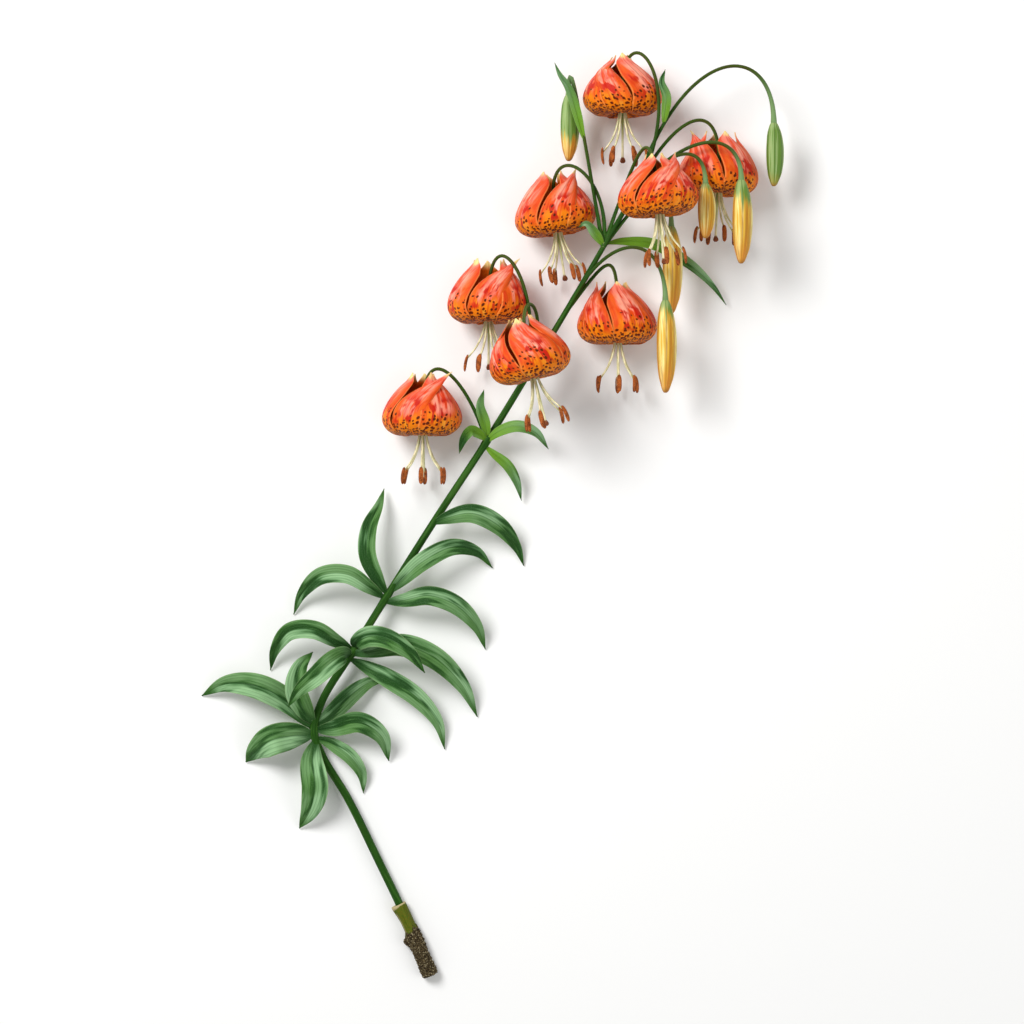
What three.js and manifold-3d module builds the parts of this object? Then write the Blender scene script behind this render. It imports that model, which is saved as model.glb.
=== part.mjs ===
// Leopard lily, Lilium pardalinum: one cut flowering stem that lies on a flat surface.
// Millimetres, +Z up. +Y runs from the cut foot to the top of the raceme, and the blooms nod towards -Y.
import * as THREE from "three";
import Module from "manifold-3d";

const wasm = await Module();
wasm.setup();

// Places below are measured from the cut foot. This shift puts the origin under the middle of the whole.
const ORIGIN = [51.2, 392.8, 0];
const FIT_GAP = 0.3;
const SLIVER = 0.05;

// Stem: its middle line, and its radius at heights along Y.
const STEM_ROUTE = [
  [0, 0, 6.8],
  [-23, 53, 7],
  [-45, 99, 7.4],
  [-71, 152, 8.4],
  [-93, 189, 9.6],
  [-100, 210, 10.5],
  [-93, 236, 12],
  [-67, 278, 15],
  [-39, 323, 19],
  [4, 391, 23],
  [48, 458, 27],
  [82, 513, 34],
  [115, 567, 42],
  [147, 622, 48],
  [174, 669, 50],
];
const STEM_RADII = [
  [0, 3.4],
  [210, 3.3],
  [458, 3],
  [567, 2.4],
  [669, 1.9],
];
const STEM_SIDES = 8;
const STEM_STEPS = 38;
const WHORL_HEIGHTS = [210, 278, 325, 458];
const WHORL_SWELLING = 0.7;
const WHORL_SPREAD = 5;

// Pedicels, the arching stalks of blooms and buds: radius by share of the length.
const PEDICEL_SIDES = 5;
const PEDICEL_STEPS = 8;
const PEDICEL_RADII = [
  [0, 1.9],
  [0.3, 1.45],
  [0.9, 1.4],
  [1, 2.1],
];

// Foot sheath: an old leaf base round the foot of the stem, olive above and crusted with soil below.
const SHEATH_LENGTH = 67;
const CRUST_LENGTH = 42;
const SHEATH_RADIUS = 5.5;
const CRUST_RADIUS = 6.7;
const CRUST_LUMP = 0.45;
const KNOB_HEIGHT = 3.2;
const KNOB_SPREAD = 4;
const STUB_FLARE = 2.2;
const STUB_SPREAD = 10;
const SHEATH_SIDES = 12;
const SHEATH_STEPS = 10;
const LEFT_SIDE = 1.5 * Math.PI;

// Leaves
const LEAF_THICKNESS = 0.9;
const LEAF_ROWS = 8;
const LEAF_BASE_SHARE = 0.26;
const LEAF_TIP_SHARE = 0.06;
const LEAF_WIDEST_SKEW = 0.82;
const LEAF_FULLNESS = 0.85;
const LEAF_WAVES = 1.3;

// Blooms: six tepals of one length that leave a short funnel and turn back into a turban.
const TEPAL_LENGTH = 96;
const TEPAL_THICKNESS = 0.8;
const TEPAL_ROOT = [4.2, -1];
const TEPAL_TIP_WIDTH = 1.2;
const PRESSED_HEIGHT = 0.25;
const TEPAL_FULLNESS = 0.6;
const OUTER_TEPAL = { width: 28, room: 24 };
const INNER_TEPAL = { width: 34, room: 31.5 };
const TEPAL_ROWS = [0, 0.13, 0.22, 0.31, 0.41, 0.51, 0.62, 0.75, 0.9, 1];
// Heading of a tepal by share of its length: 0 degrees towards the mouth, 90 outwards, 180 back.
const TEPAL_HEADINGS = [
  [0, 10],
  [0.1, 14],
  [0.17, 36],
  [0.24, 80],
  [0.32, 106],
  [0.4, 130],
  [0.48, 164],
  [0.54, 190],
  [0.62, 207],
  [0.74, 219],
  [0.88, 229],
  [0.95, 216],
  [1, 192],
];
const CURL_SPREAD = 0.012;
const SWIRL_SPREAD = 8;
// The tepal that faces up curls less than the others, and its tip sweeps across theirs.
const LEAD_TEPAL = { index: 4, curl: 0.975, swirl: 1.8 };
const DISC_RADIUS = 6.2;
const DISC_DEPTH = 3;
const DISC_SIDES = 6;

// Stamens and pistil: [radius, depth] and [depth, radius] from the base of the bloom towards its mouth.
const FILAMENT_ROUTE = [
  [2.2, 6],
  [3.6, 24],
  [10, 40],
  [19.5, 52],
];
const FILAMENT_RADIUS = 1;
const FILAMENT_SIDES = 3;
const FILAMENT_STEPS = 3;
const ANTHER_LENGTH = 15;
const ANTHER_WIDTH = 4.2;
const ANTHER_FLATNESS = 0.7;
const ANTHER_DROP = 3;
const ANTHER_PROFILE = [
  [-0.5, 0.45],
  [0.05, 1.05],
  [0.5, 0.45],
];
const PISTIL_SIDES = 5;
const PISTIL_PROFILE = [
  [61, 1.5],
  [59, 2.3],
  [56.5, 1.1],
  [23, 1.1],
  [15, 2],
  [DISC_DEPTH + FIT_GAP, 2.9],
];

// Buds: three ribs along a spindle, with its radius by share of the length.
const BUD_SIDES = 12;
const BUD_RIB = 0.07;
const BUD_PROFILE = [
  [0, 0.32],
  [0.08, 0.6],
  [0.26, 0.9],
  [0.5, 1],
  [0.74, 0.86],
  [0.92, 0.5],
  [1, 0.16],
];

// Colour and roughness of each material slot
const SLOTS = {
  stem_green: [0x2f6a22, 0.5],
  leaf_green: [0x4d8a58, 0.55],
  bract_green: [0x6da83f, 0.5],
  tepal_orange: [0xee6a26, 0.45],
  stamen_mix: [0xb9a070, 0.6],
  bud_gold: [0xe2ae3a, 0.45],
  bud_green: [0x7fa860, 0.5],
  soil_brown: [0x4c3c2a, 0.95],
};

// Each bloom has the height where its pedicel leaves the stem, the handles of the pedicel's curve, the place
// of its base, the way it nods, its turn about its own axis, and the curl and swirl of its tepals.
const BLOOMS = [
  {
    from: 458, rise: [-14, 50, 0], drop: 70, at: [-6, 484, 32], nod: [0, -1, 0],
    turn: 0, curl: 1, swirl: 20,
  },
  {
    from: 513, rise: [28, 67, 4], drop: 70, at: [84, 529, 88], nod: [0.24, -0.97, 0],
    turn: 8, curl: 1, swirl: -30,
  },
  {
    from: 513, rise: [18, 77, 26], drop: 80, at: [50, 580, 32], nod: [0, -1, 0],
    turn: 20, curl: 0.98, swirl: 15,
  },
  {
    from: 567, rise: [35, 45, -2], drop: 70, at: [160, 562, 32], nod: [0, -1, 0],
    turn: 0, curl: 1, swirl: -20,
  },
  {
    from: 622, rise: [10, 66, -4], drop: 70, at: [106, 655, 32], nod: [0.15, -0.99, 0],
    turn: 30, curl: 1, swirl: 25,
  },
  {
    from: 622, rise: [28, 78, 2], drop: 70, at: [191, 665, 90], nod: [0.09, -0.99, 0],
    turn: 14, curl: 1.01, swirl: 35,
  },
  {
    from: 667, rise: [31, 66, 0], drop: 70, at: [246, 689, 32], nod: [-0.05, -1, 0],
    turn: 10, curl: 0.99, swirl: -15,
  },
  {
    from: 667, rise: [52, 92, 16], drop: 76, at: [164, 756, 32], nod: [0, -1, 0],
    turn: 25, curl: 1.02, swirl: -35,
  },
];

const BUDS = [
  {
    slot: "bud_gold", length: 78, width: 17,
    from: 567, rise: [36, 74, 18], drop: 58, at: [199, 576, 60], nod: [0, -1, 0],
  },
  {
    slot: "bud_green", length: 56, width: 16,
    from: 622, rise: [-19, 108, -2], drop: 48, at: [118, 752, 36], nod: [0, -1, -0.05],
  },
  {
    slot: "bud_green", length: 54, width: 15,
    from: 667, rise: [41, 131, 6], drop: 72, at: [292, 728, 40], nod: [0, -1, 0],
  },
  {
    slot: "bud_gold", length: 70, width: 17,
    from: 667, rise: [41, 51, 20], drop: 46, at: [262, 676, 72], nod: [0, -1, -0.04],
  },
  {
    slot: "bud_gold", length: 46, width: 15,
    from: 667, rise: [26, 36, 16], drop: 39, at: [232, 673, 72], nod: [0, -1, 0],
  },
  {
    slot: "bud_gold", length: 74, width: 17,
    from: 622, rise: [43, 58, -4], drop: 50, at: [205, 640, 40], nod: [0, -1, 0],
  },
];

// Each leaf has the height where it leaves the stem, its width, the lift of its edges as a share of the half
// width, the height of the waves along its edges, and the points that its middle line passes.
const LOW_LEAVES = [
  {
    from: 212, width: 22, fold: 0.3, wave: 1.5,
    route: [[-122, 236, 19], [-148, 250, 28], [-175, 251, 16], [-197, 240, 1.4]],
  },
  {
    from: 207, width: 26, fold: 0.15, wave: 2,
    route: [[-118, 208, 20], [-136, 207, 30], [-150, 193, 16], [-159, 183, 2]],
  },
  {
    from: 203, width: 23, fold: 0.2, wave: 1.4,
    route: [[-101, 186, 20], [-98, 163, 27], [-103, 143, 17], [-113, 126, 2]],
  },
  {
    from: 205, width: 13, fold: 0.25, wave: 0.8,
    route: [[-84, 199, 12], [-68, 188, 14], [-59, 173, 8], [-58, 156, 1.4]],
  },
  {
    from: 211, width: 18, fold: 0.25, wave: 1.2,
    route: [[-84, 213, 17], [-60, 219, 28], [-42, 207, 20], [-36, 184, 3]],
  },
  {
    from: 216, width: 19, fold: 0.35, wave: 1.2,
    route: [[-108, 230, 20], [-114, 248, 30], [-111, 266, 24], [-101, 278, 12]],
  },
  {
    from: 214, width: 16, fold: 0.2, wave: 1,
    route: [[-82, 228, 12], [-66, 243, 14], [-52, 252, 9], [-36, 254, 3]],
  },
];

const MIDDLE_LEAVES = [
  {
    from: 280, width: 16, fold: 0.3, wave: 1,
    route: [[-80, 288, 26], [-98, 298, 36], [-118, 297, 32], [-133, 280, 14], [-138, 262, 1.6]],
  },
  {
    from: 276, width: 20, fold: 0.25, wave: 1.5,
    route: [[-50, 280, 24], [-24, 285, 32], [4, 274, 30], [28, 249, 16], [40, 222, 1.6]],
  },
  {
    from: 282, width: 18, fold: 0.3, wave: 1,
    route: [[-62, 287, 32], [-50, 293, 48], [-34, 291, 58], [-16, 279, 54], [-4, 262, 44]],
  },
  {
    from: 273, width: 17, fold: 0.25, wave: 1.4,
    route: [[-56, 266, 14], [-36, 256, 20], [-12, 240, 18], [6, 218, 10], [12, 194, 1.6]],
  },
  {
    from: 275, width: 18, fold: 0.25, wave: 1.2,
    route: [[-73, 277, 32], [-83, 271, 48], [-95, 260, 58], [-110, 247, 50], [-120, 233, 40]],
  },
];

const UPPER_LEAVES = [
  {
    from: 324, width: 16, fold: 0.3, wave: 1,
    route: [[-52, 334, 28], [-70, 345, 34], [-92, 344, 28], [-110, 328, 12], [-118, 310, 1.6]],
  },
  {
    from: 321, width: 17, fold: 0.25, wave: 1.2,
    route: [[-22, 323, 26], [0, 327, 34], [22, 319, 30], [40, 300, 16], [47, 280, 1.6]],
  },
  {
    from: 328, width: 16, fold: 0.3, wave: 1.2,
    route: [[-24, 340, 24], [-6, 356, 30], [18, 368, 28], [40, 364, 14], [53, 350, 1.6]],
  },
  {
    from: 327, width: 15, fold: 0.3, wave: 1.2,
    route: [[-45, 342, 28], [-53, 362, 34], [-52, 384, 28], [-44, 404, 16], [-40, 418, 6]],
  },
];

const SINGLE_LEAF = [
  {
    from: 388, width: 17, fold: 0.25, wave: 1.2,
    route: [[14, 393, 30], [36, 397, 34], [58, 387, 24], [74, 368, 8], [80, 352, 1.6]],
  },
];

// Bracts are small leaves under the pedicels. Some grow on a pedicel, at a share of its length.
const BRACTS = [
  { from: 460, width: 9, fold: 0.3, wave: 0.5, route: [[47, 474, 36], [43, 488, 40], [46, 502, 34]] },
  {
    from: 457, width: 10, fold: 0.3, wave: 0.6,
    route: [[58, 466, 34], [74, 471, 38], [90, 466, 32], [101, 452, 20]],
  },
  {
    from: 455, width: 9, fold: 0.3, wave: 0.5,
    route: [[54, 448, 26], [66, 438, 22], [74, 424, 14], [78, 408, 6]],
  },
  {
    from: 459, width: 9, fold: 0.3, wave: 0.5,
    route: [[41, 465, 36], [35, 467, 41], [29, 460, 39], [25, 448, 33]],
  },
  {
    from: 625, width: 10, fold: 0.3, wave: 0.7,
    route: [[164, 628, 36], [192, 626, 26], [222, 610, 18], [242, 592, 12], [254, 576, 6]],
  },
  { from: 623, width: 8, fold: 0.3, wave: 0.3, route: [[140, 633, 54], [132, 641, 59], [126, 638, 58]] },
  {
    stalk: BUDS[1], share: 0.55, width: 8, fold: 0.3, wave: 0.3,
    route: [[118, 756, 49], [110, 768, 52], [106, 778, 48]],
  },
  {
    stalk: BUDS[2], share: 0.3, width: 8, fold: 0.3, wave: 0.3,
    route: [[200, 748, 58], [196, 760, 60], [199, 771, 57]],
  },
];

const UP = new THREE.Vector3(0, 0, 1);
const { degToRad, lerp } = THREE.MathUtils;

// Curves and tables

function vector([x, y, z]) {
  return new THREE.Vector3(x, y, z);
}

function smooth(points) {
  return new THREE.CatmullRomCurve3(points, false, "centripetal");
}

// Straight-line value between the rows of a table of [place, value].
function between(table, place) {
  const last = table.length - 1;
  for (let i = 0; i < last; i += 1) {
    const [a, low] = table[i];
    const [b, high] = table[i + 1];
    if (place <= b) return lerp(low, high, Math.max(0, (place - a) / (b - a)));
  }
  return table[last][1];
}

function bump(distance, spread) {
  return Math.exp(-((distance / spread) ** 2));
}

// Repeatable noise from a whole number, between -1 and 1.
function jitter(seed) {
  const wave = Math.sin(seed * 12.9898 + 4.1) * 43758.5453;
  return 2 * (wave - Math.floor(wave)) - 1;
}

// Skins from rings and sheets

function toGeometry(points, faces) {
  const numbers = points.flatMap((point) => point.toArray());
  const geometry = new THREE.BufferGeometry();
  geometry.setAttribute("position", new THREE.Float32BufferAttribute(numbers, 3));
  geometry.setIndex(faces.flat());
  return geometry;
}

// Closed skin through rings that turn counter-clockwise as seen from the last one.
function loft(rings) {
  const sides = rings[0].length;
  const last = (rings.length - 1) * sides;
  const faces = [];
  for (let r = 0; r < rings.length - 1; r += 1) {
    for (let k = 0; k < sides; k += 1) {
      const a = r * sides + k;
      const b = r * sides + ((k + 1) % sides);
      faces.push([a, b, b + sides], [a, b + sides, a + sides]);
    }
  }
  for (let k = 1; k < sides - 1; k += 1) {
    faces.push([0, k + 1, k], [last, last + k, last + k + 1]);
  }
  return toGeometry(rings.flat(), faces);
}

// Tube along a curve. Its radius follows the share of the length and the angle, which starts at the top.
function tube(curve, steps, sides, radiusAt) {
  const { normals, binormals } = curve.computeFrenetFrames(steps, false);
  const top = Math.atan2(binormals[0].dot(UP), normals[0].dot(UP));
  const rings = [];
  for (let i = 0; i <= steps; i += 1) {
    const centre = curve.getPointAt(i / steps);
    const ring = [];
    for (let k = 0; k < sides; k += 1) {
      const angle = (2 * Math.PI * k) / sides;
      const radius = radiusAt(i / steps, angle);
      const point = centre.clone();
      point.addScaledVector(normals[i], radius * Math.cos(top + angle));
      point.addScaledVector(binormals[i], radius * Math.sin(top + angle));
      ring.push(point);
    }
    rings.push(ring);
  }
  return loft(rings);
}

// Grid points moved to one face of a sheet, along the normals of the grid.
function offsetGrid(grid, distance) {
  const rows = grid.length;
  const columns = grid[0].length;
  return grid.map((row, r) =>
    row.map((point, c) => {
      const along = grid[Math.min(r + 1, rows - 1)][c].clone().sub(grid[Math.max(r - 1, 0)][c]);
      const across = row[Math.min(c + 1, columns - 1)].clone().sub(row[Math.max(c - 1, 0)]);
      return point.clone().addScaledVector(along.cross(across).normalize(), distance);
    }),
  );
}

// Sheet of even thickness over a grid of points, with both faces split into the same triangles.
function sheet(grid, thickness) {
  const rows = grid.length;
  const columns = grid[0].length;
  const under = rows * columns;
  const faces = [];
  function addTriangle(a, b, c) {
    faces.push([a, b, c], [under + a, under + c, under + b]);
  }
  for (let r = 0; r < rows - 1; r += 1) {
    for (let c = 0; c < columns - 1; c += 1) {
      const a = r * columns + c;
      const b = a + columns;
      if (2 * c < columns - 1) {
        addTriangle(a, b, b + 1);
        addTriangle(a, b + 1, a + 1);
      } else {
        addTriangle(a, b, a + 1);
        addTriangle(a + 1, b, b + 1);
      }
    }
  }
  const rim = [];
  for (let r = 0; r < rows - 1; r += 1) rim.push(r * columns);
  for (let c = 0; c < columns - 1; c += 1) rim.push((rows - 1) * columns + c);
  for (let r = rows - 1; r > 0; r -= 1) rim.push(r * columns + columns - 1);
  for (let c = columns - 1; c > 0; c -= 1) rim.push(c);
  rim.forEach((a, i) => {
    const b = rim[(i + 1) % rim.length];
    faces.push([a, under + a, under + b], [a, under + b, b]);
  });
  const points = [offsetGrid(grid, thickness / 2), offsetGrid(grid, -thickness / 2)].flat(2);
  return toGeometry(points, faces);
}

// Joins and cuts

function toSolid(geometry) {
  return new wasm.Manifold(
    new wasm.Mesh({
      numProp: 3,
      vertProperties: new Float32Array(geometry.getAttribute("position").array),
      triVerts: new Uint32Array(geometry.getIndex().array),
    }),
  );
}

function fuse(solids) {
  return solids.reduce((whole, next) => whole.add(next));
}

function largestBody(solid) {
  return solid.decompose().reduce((best, body) => (body.volume() > best.volume() ? body : best));
}

// What rests on the surface is pressed flat against it.
function aboveSurface(solid) {
  return solid.trimByPlane([0, 0, 1], 0);
}

function mesh(name, slot, solid) {
  const { vertProperties, triVerts } = largestBody(solid).simplify(SLIVER).getMesh();
  const geometry = new THREE.BufferGeometry();
  geometry.setAttribute("position", new THREE.BufferAttribute(vertProperties, 3));
  geometry.setIndex(new THREE.BufferAttribute(triVerts, 1));
  geometry.computeVertexNormals();
  const [color, roughness] = SLOTS[slot];
  const material = new THREE.MeshStandardMaterial({ name: slot, color, roughness, metalness: 0 });
  const made = new THREE.Mesh(geometry, material);
  made.name = name;
  return made;
}

// Stem with its pedicels

const stemCurve = smooth(STEM_ROUTE.map(vector));

// Point of the stem's middle line at a height along Y.
function stemPoint(y) {
  let low = 0;
  let high = 1;
  while (high - low > 1e-6) {
    const middle = (low + high) / 2;
    if (stemCurve.getPointAt(middle).y < y) low = middle;
    else high = middle;
  }
  return stemCurve.getPointAt(low);
}

function stemTube(extra) {
  return toSolid(
    tube(stemCurve, STEM_STEPS, STEM_SIDES, (share) => {
      const { y } = stemCurve.getPointAt(share);
      const swelling = WHORL_HEIGHTS.reduce((sum, height) => sum + bump(y - height, WHORL_SPREAD), 0);
      return between(STEM_RADII, y) + WHORL_SWELLING * swelling + extra;
    }),
  );
}

function pedicelCurve({ from, rise, drop, at, nod }) {
  const start = stemPoint(from);
  const back = vector(nod).normalize().negate();
  const end = vector(at).addScaledVector(back, FIT_GAP);
  const first = start.clone().add(vector(rise));
  const second = end.clone().addScaledVector(back, drop);
  return new THREE.CubicBezierCurve3(start, first, second, end);
}

function pedicel(stalk, extra) {
  const radiusAt = (share) => between(PEDICEL_RADII, share) + extra;
  return toSolid(tube(pedicelCurve(stalk), PEDICEL_STEPS, PEDICEL_SIDES, radiusAt));
}

// The extra radius makes room round the stem for what is set against it.
function stem(extra) {
  const stalks = [...BLOOMS, ...BUDS].map((stalk) => pedicel(stalk, extra));
  return fuse([stemTube(extra), ...stalks]);
}

const stemWithRoom = stem(FIT_GAP);

// Foot sheath

function sheathRadius(distance, angle) {
  const toLeft = Math.max(0, Math.cos(angle - LEFT_SIDE));
  const stub = STUB_FLARE * bump(SHEATH_LENGTH - distance, STUB_SPREAD) * toLeft;
  const knob = KNOB_HEIGHT * bump(distance - CRUST_LENGTH + KNOB_SPREAD, KNOB_SPREAD) * toLeft ** 2;
  if (distance > CRUST_LENGTH) return SHEATH_RADIUS + stub + knob;
  const lump = Math.sin(3 * angle + 0.6 * distance) * Math.cos(0.85 * distance + angle);
  return CRUST_RADIUS + CRUST_LUMP * lump + knob;
}

function footSheath() {
  const share = SHEATH_LENGTH / stemCurve.getLength();
  const curve = smooth([0, 0.25, 0.5, 0.75, 1].map((part) => stemCurve.getPointAt(part * share)));
  const outside = tube(curve, SHEATH_STEPS, SHEATH_SIDES, (part, angle) => {
    return sheathRadius(part * SHEATH_LENGTH, angle);
  });
  return aboveSurface(toSolid(outside).subtract(stemTube(FIT_GAP)));
}

// Leaves

// Width by share of the length: a narrow base, a broad middle and an acute tip.
function leafWidth(share) {
  const blade = Math.sin(Math.PI * share ** LEAF_WIDEST_SKEW) ** LEAF_FULLNESS;
  return Math.max(blade, LEAF_BASE_SHARE * (1 - share) ** 2, LEAF_TIP_SHARE);
}

function leafRoot({ from, stalk, share }) {
  return stalk ? pedicelCurve(stalk).getPointAt(share) : stemPoint(from);
}

function leafBlade(leaf, extra) {
  const curve = smooth([leafRoot(leaf), ...leaf.route.map(vector)]);
  const rows = Math.min(LEAF_ROWS, 2 * leaf.route.length);
  const grid = Array.from({ length: rows }, (_, row) => {
    const share = row / (rows - 1);
    const along = curve.getTangentAt(share);
    const across = along.clone().cross(UP).normalize();
    const face = across.clone().cross(along);
    const full = leafWidth(share);
    const half = (leaf.width / 2) * full + extra;
    return [-1, 0, 1].map((side) => {
      const wave = leaf.wave * side * full * Math.sin(2 * Math.PI * LEAF_WAVES * share);
      const point = curve.getPointAt(share).addScaledVector(across, side * half);
      return point.addScaledVector(face, leaf.fold * half * Math.abs(side) + wave);
    });
  });
  return toSolid(sheet(grid, LEAF_THICKNESS + 2 * extra));
}

// The leaves of a whorl, each cut clear of the stem and of the leaves before it.
function leaves(name, slot, list) {
  const taken = [stemWithRoom];
  return list.map((leaf, i) => {
    const blade = taken.reduce((rest, other) => rest.subtract(other), leafBlade(leaf, 0));
    taken.push(leafBlade(leaf, FIT_GAP));
    return mesh(`${name}_${i + 1}`, slot, aboveSurface(blade));
  });
}

// Blooms

// A bloom's frame has +Z back along its stalk, so that its mouth lies at negative heights.
function bloomFrame({ at, nod, turn = 0 }) {
  const back = vector(nod).normalize().negate();
  const aim = new THREE.Quaternion().setFromUnitVectors(UP, back);
  const spin = new THREE.Quaternion().setFromAxisAngle(UP, degToRad(turn));
  return new THREE.Matrix4().compose(vector(at), aim.multiply(spin), new THREE.Vector3(1, 1, 1));
}

function inBloom(frame, angle, radius, height) {
  return new THREE.Vector3(radius * Math.cos(angle), radius * Math.sin(angle), height).applyMatrix4(frame);
}

function ringInBloom(frame, sides, radius, height) {
  const turns = Array.from({ length: sides }, (_, k) => (2 * Math.PI * k) / sides);
  return turns.map((angle) => inBloom(frame, angle, radius, height));
}

// Middle line of a tepal: [radius, height] at each row, stepped along its headings.
function tepalLine(curl) {
  const step = 1;
  const line = [TEPAL_ROOT];
  for (let distance = step / 2; distance < TEPAL_LENGTH; distance += step) {
    const heading = degToRad(between(TEPAL_HEADINGS, distance / TEPAL_LENGTH) * curl);
    const [radius, height] = line.at(-1);
    line.push([radius + step * Math.sin(heading), height - step * Math.cos(heading)]);
  }
  return TEPAL_ROWS.map((share) => line[Math.round((share * TEPAL_LENGTH) / step)]);
}

function tepalHalfWidth(share, width) {
  const blade = (width / 2) * Math.sin(Math.PI * (0.14 + 0.86 * share)) ** TEPAL_FULLNESS;
  return Math.max(blade || 0, TEPAL_TIP_WIDTH / 2);
}

function tepal(frame, bloom, index, seed) {
  const { width, room } = index % 2 ? INNER_TEPAL : OUTER_TEPAL;
  const lead = index === LEAD_TEPAL.index ? LEAD_TEPAL : { curl: 1, swirl: 1 };
  const line = tepalLine(bloom.curl * lead.curl * (1 + CURL_SPREAD * jitter(seed)));
  const swirl = degToRad(bloom.swirl * lead.swirl + SWIRL_SPREAD * jitter(seed + 5));
  const grid = TEPAL_ROWS.map((share, row) => {
    const [radius, height] = line[row];
    const half = Math.min(tepalHalfWidth(share, width) / radius, degToRad(room));
    const angle = (index * Math.PI) / 3 + swirl * share ** 3;
    return [1, 0, -1].map((side) => inBloom(frame, angle + side * half, radius, height));
  });
  for (const point of grid.flat()) point.z = Math.max(point.z, PRESSED_HEIGHT);
  return toSolid(sheet(grid, TEPAL_THICKNESS));
}

// The stalk passes between the tips of the tepals, which are cut clear of it.
function perianth(frame, bloom, seed) {
  const disc = loft([
    ringInBloom(frame, DISC_SIDES, DISC_RADIUS, -DISC_DEPTH),
    ringInBloom(frame, DISC_SIDES, DISC_RADIUS, 0),
  ]);
  const tepals = [0, 1, 2, 3, 4, 5].map((index) => tepal(frame, bloom, index, 10 * seed + index));
  return aboveSurface(fuse([toSolid(disc), ...tepals]).subtract(stemWithRoom));
}

function pistil(frame) {
  const rings = PISTIL_PROFILE.map(([depth, radius]) => ringInBloom(frame, PISTIL_SIDES, radius, -depth));
  return toSolid(loft(rings));
}

function filament(frame, angle, reach) {
  const points = FILAMENT_ROUTE.map(([radius, depth], i) => {
    return inBloom(frame, angle, i < 2 ? radius : radius * reach, -depth);
  });
  return toSolid(tube(smooth(points), FILAMENT_STEPS, FILAMENT_SIDES, () => FILAMENT_RADIUS));
}

// A flat spindle hung by its middle on the end of the filament.
function anther(frame, angle, reach, lean) {
  const [radius, depth] = FILAMENT_ROUTE.at(-1);
  const rings = ANTHER_PROFILE.map(([share, size]) => {
    const along = share * ANTHER_LENGTH;
    const middle = radius * reach - lean * along;
    const wide = (ANTHER_WIDTH / 2) * size;
    const thick = wide * ANTHER_FLATNESS;
    const corners = [[thick, 0], [0, wide], [-thick, 0], [0, -wide]];
    return corners.map(([out, side]) => {
      return inBloom(frame, angle + side / middle, middle + out, along - depth - ANTHER_DROP);
    });
  });
  return toSolid(loft(rings));
}

function stamens(frame, seed) {
  const pieces = [pistil(frame)];
  for (let i = 0; i < 6; i += 1) {
    const angle = ((i + 0.5) * Math.PI) / 3 + 0.2 * jitter(seed + i);
    const reach = 0.92 + 0.12 * jitter(seed + i + 7);
    const lean = 0.1 + 0.18 * jitter(seed + i + 3);
    pieces.push(filament(frame, angle, reach), anther(frame, angle, reach, lean));
  }
  return fuse(pieces);
}

function bloom(place, number) {
  const frame = bloomFrame(place);
  return [
    mesh(`bloom_${number}_tepals`, "tepal_orange", perianth(frame, place, number)),
    mesh(`bloom_${number}_stamens`, "stamen_mix", stamens(frame, 20 * number)),
  ];
}

// Buds

function bud(place, number) {
  const frame = bloomFrame(place);
  const rings = BUD_PROFILE.map(([share, radius]) => {
    const turns = Array.from({ length: BUD_SIDES }, (_, k) => (2 * Math.PI * k) / BUD_SIDES);
    return turns.map((angle) => {
      const rib = 1 + BUD_RIB * Math.cos(3 * angle) * Math.min(1, 3 * share);
      return inBloom(frame, angle, (place.width / 2) * radius * rib, -share * place.length);
    });
  });
  return mesh(`bud_${number}`, place.slot, toSolid(loft(rings.reverse())));
}

// The whole spray

const spray = new THREE.Group();
spray.position.copy(vector(ORIGIN)).negate();
spray.add(mesh("stem", "stem_green", stem(0)));
spray.add(mesh("foot_sheath", "soil_brown", footSheath()));
spray.add(...leaves("leaf_low", "leaf_green", LOW_LEAVES));
spray.add(...leaves("leaf_middle", "leaf_green", MIDDLE_LEAVES));
spray.add(...leaves("leaf_upper", "leaf_green", UPPER_LEAVES));
spray.add(...leaves("leaf_single", "leaf_green", SINGLE_LEAF));
spray.add(...leaves("bract", "bract_green", BRACTS));
spray.add(...BLOOMS.flatMap((place, i) => bloom(place, i + 1)));
spray.add(...BUDS.map((place, i) => bud(place, i + 1)));

const lily = new THREE.Group();
lily.add(spray);

export default lily;
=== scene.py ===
import itertools
import math

import bpy
import numpy as np
from bpy.props import FloatProperty, FloatVectorProperty, IntProperty, PointerProperty
from mathutils import Matrix, Vector


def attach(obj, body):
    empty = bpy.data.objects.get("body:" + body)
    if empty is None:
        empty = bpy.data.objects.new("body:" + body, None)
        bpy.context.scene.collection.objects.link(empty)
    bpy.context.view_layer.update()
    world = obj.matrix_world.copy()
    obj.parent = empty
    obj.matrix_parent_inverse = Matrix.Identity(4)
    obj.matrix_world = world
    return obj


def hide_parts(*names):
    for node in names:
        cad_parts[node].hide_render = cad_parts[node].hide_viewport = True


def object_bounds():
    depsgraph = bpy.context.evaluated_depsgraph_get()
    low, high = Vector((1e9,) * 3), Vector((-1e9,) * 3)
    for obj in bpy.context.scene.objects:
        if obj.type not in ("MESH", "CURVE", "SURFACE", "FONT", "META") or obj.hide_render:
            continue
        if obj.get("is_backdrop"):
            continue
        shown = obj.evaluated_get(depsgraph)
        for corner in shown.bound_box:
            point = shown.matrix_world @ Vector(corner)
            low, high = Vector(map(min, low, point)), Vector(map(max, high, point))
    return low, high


bl_info = {
    "name": "Leopard lily stem",
    "version": (1, 0, 0),
    "blender": (4, 5, 0),
    "location": "View3D > Sidebar > Lily",
    "description": "Tepals, stamens, buds, leaves and stem of a cut leopard lily, round its solid model",
    "category": "Object",
}

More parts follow.
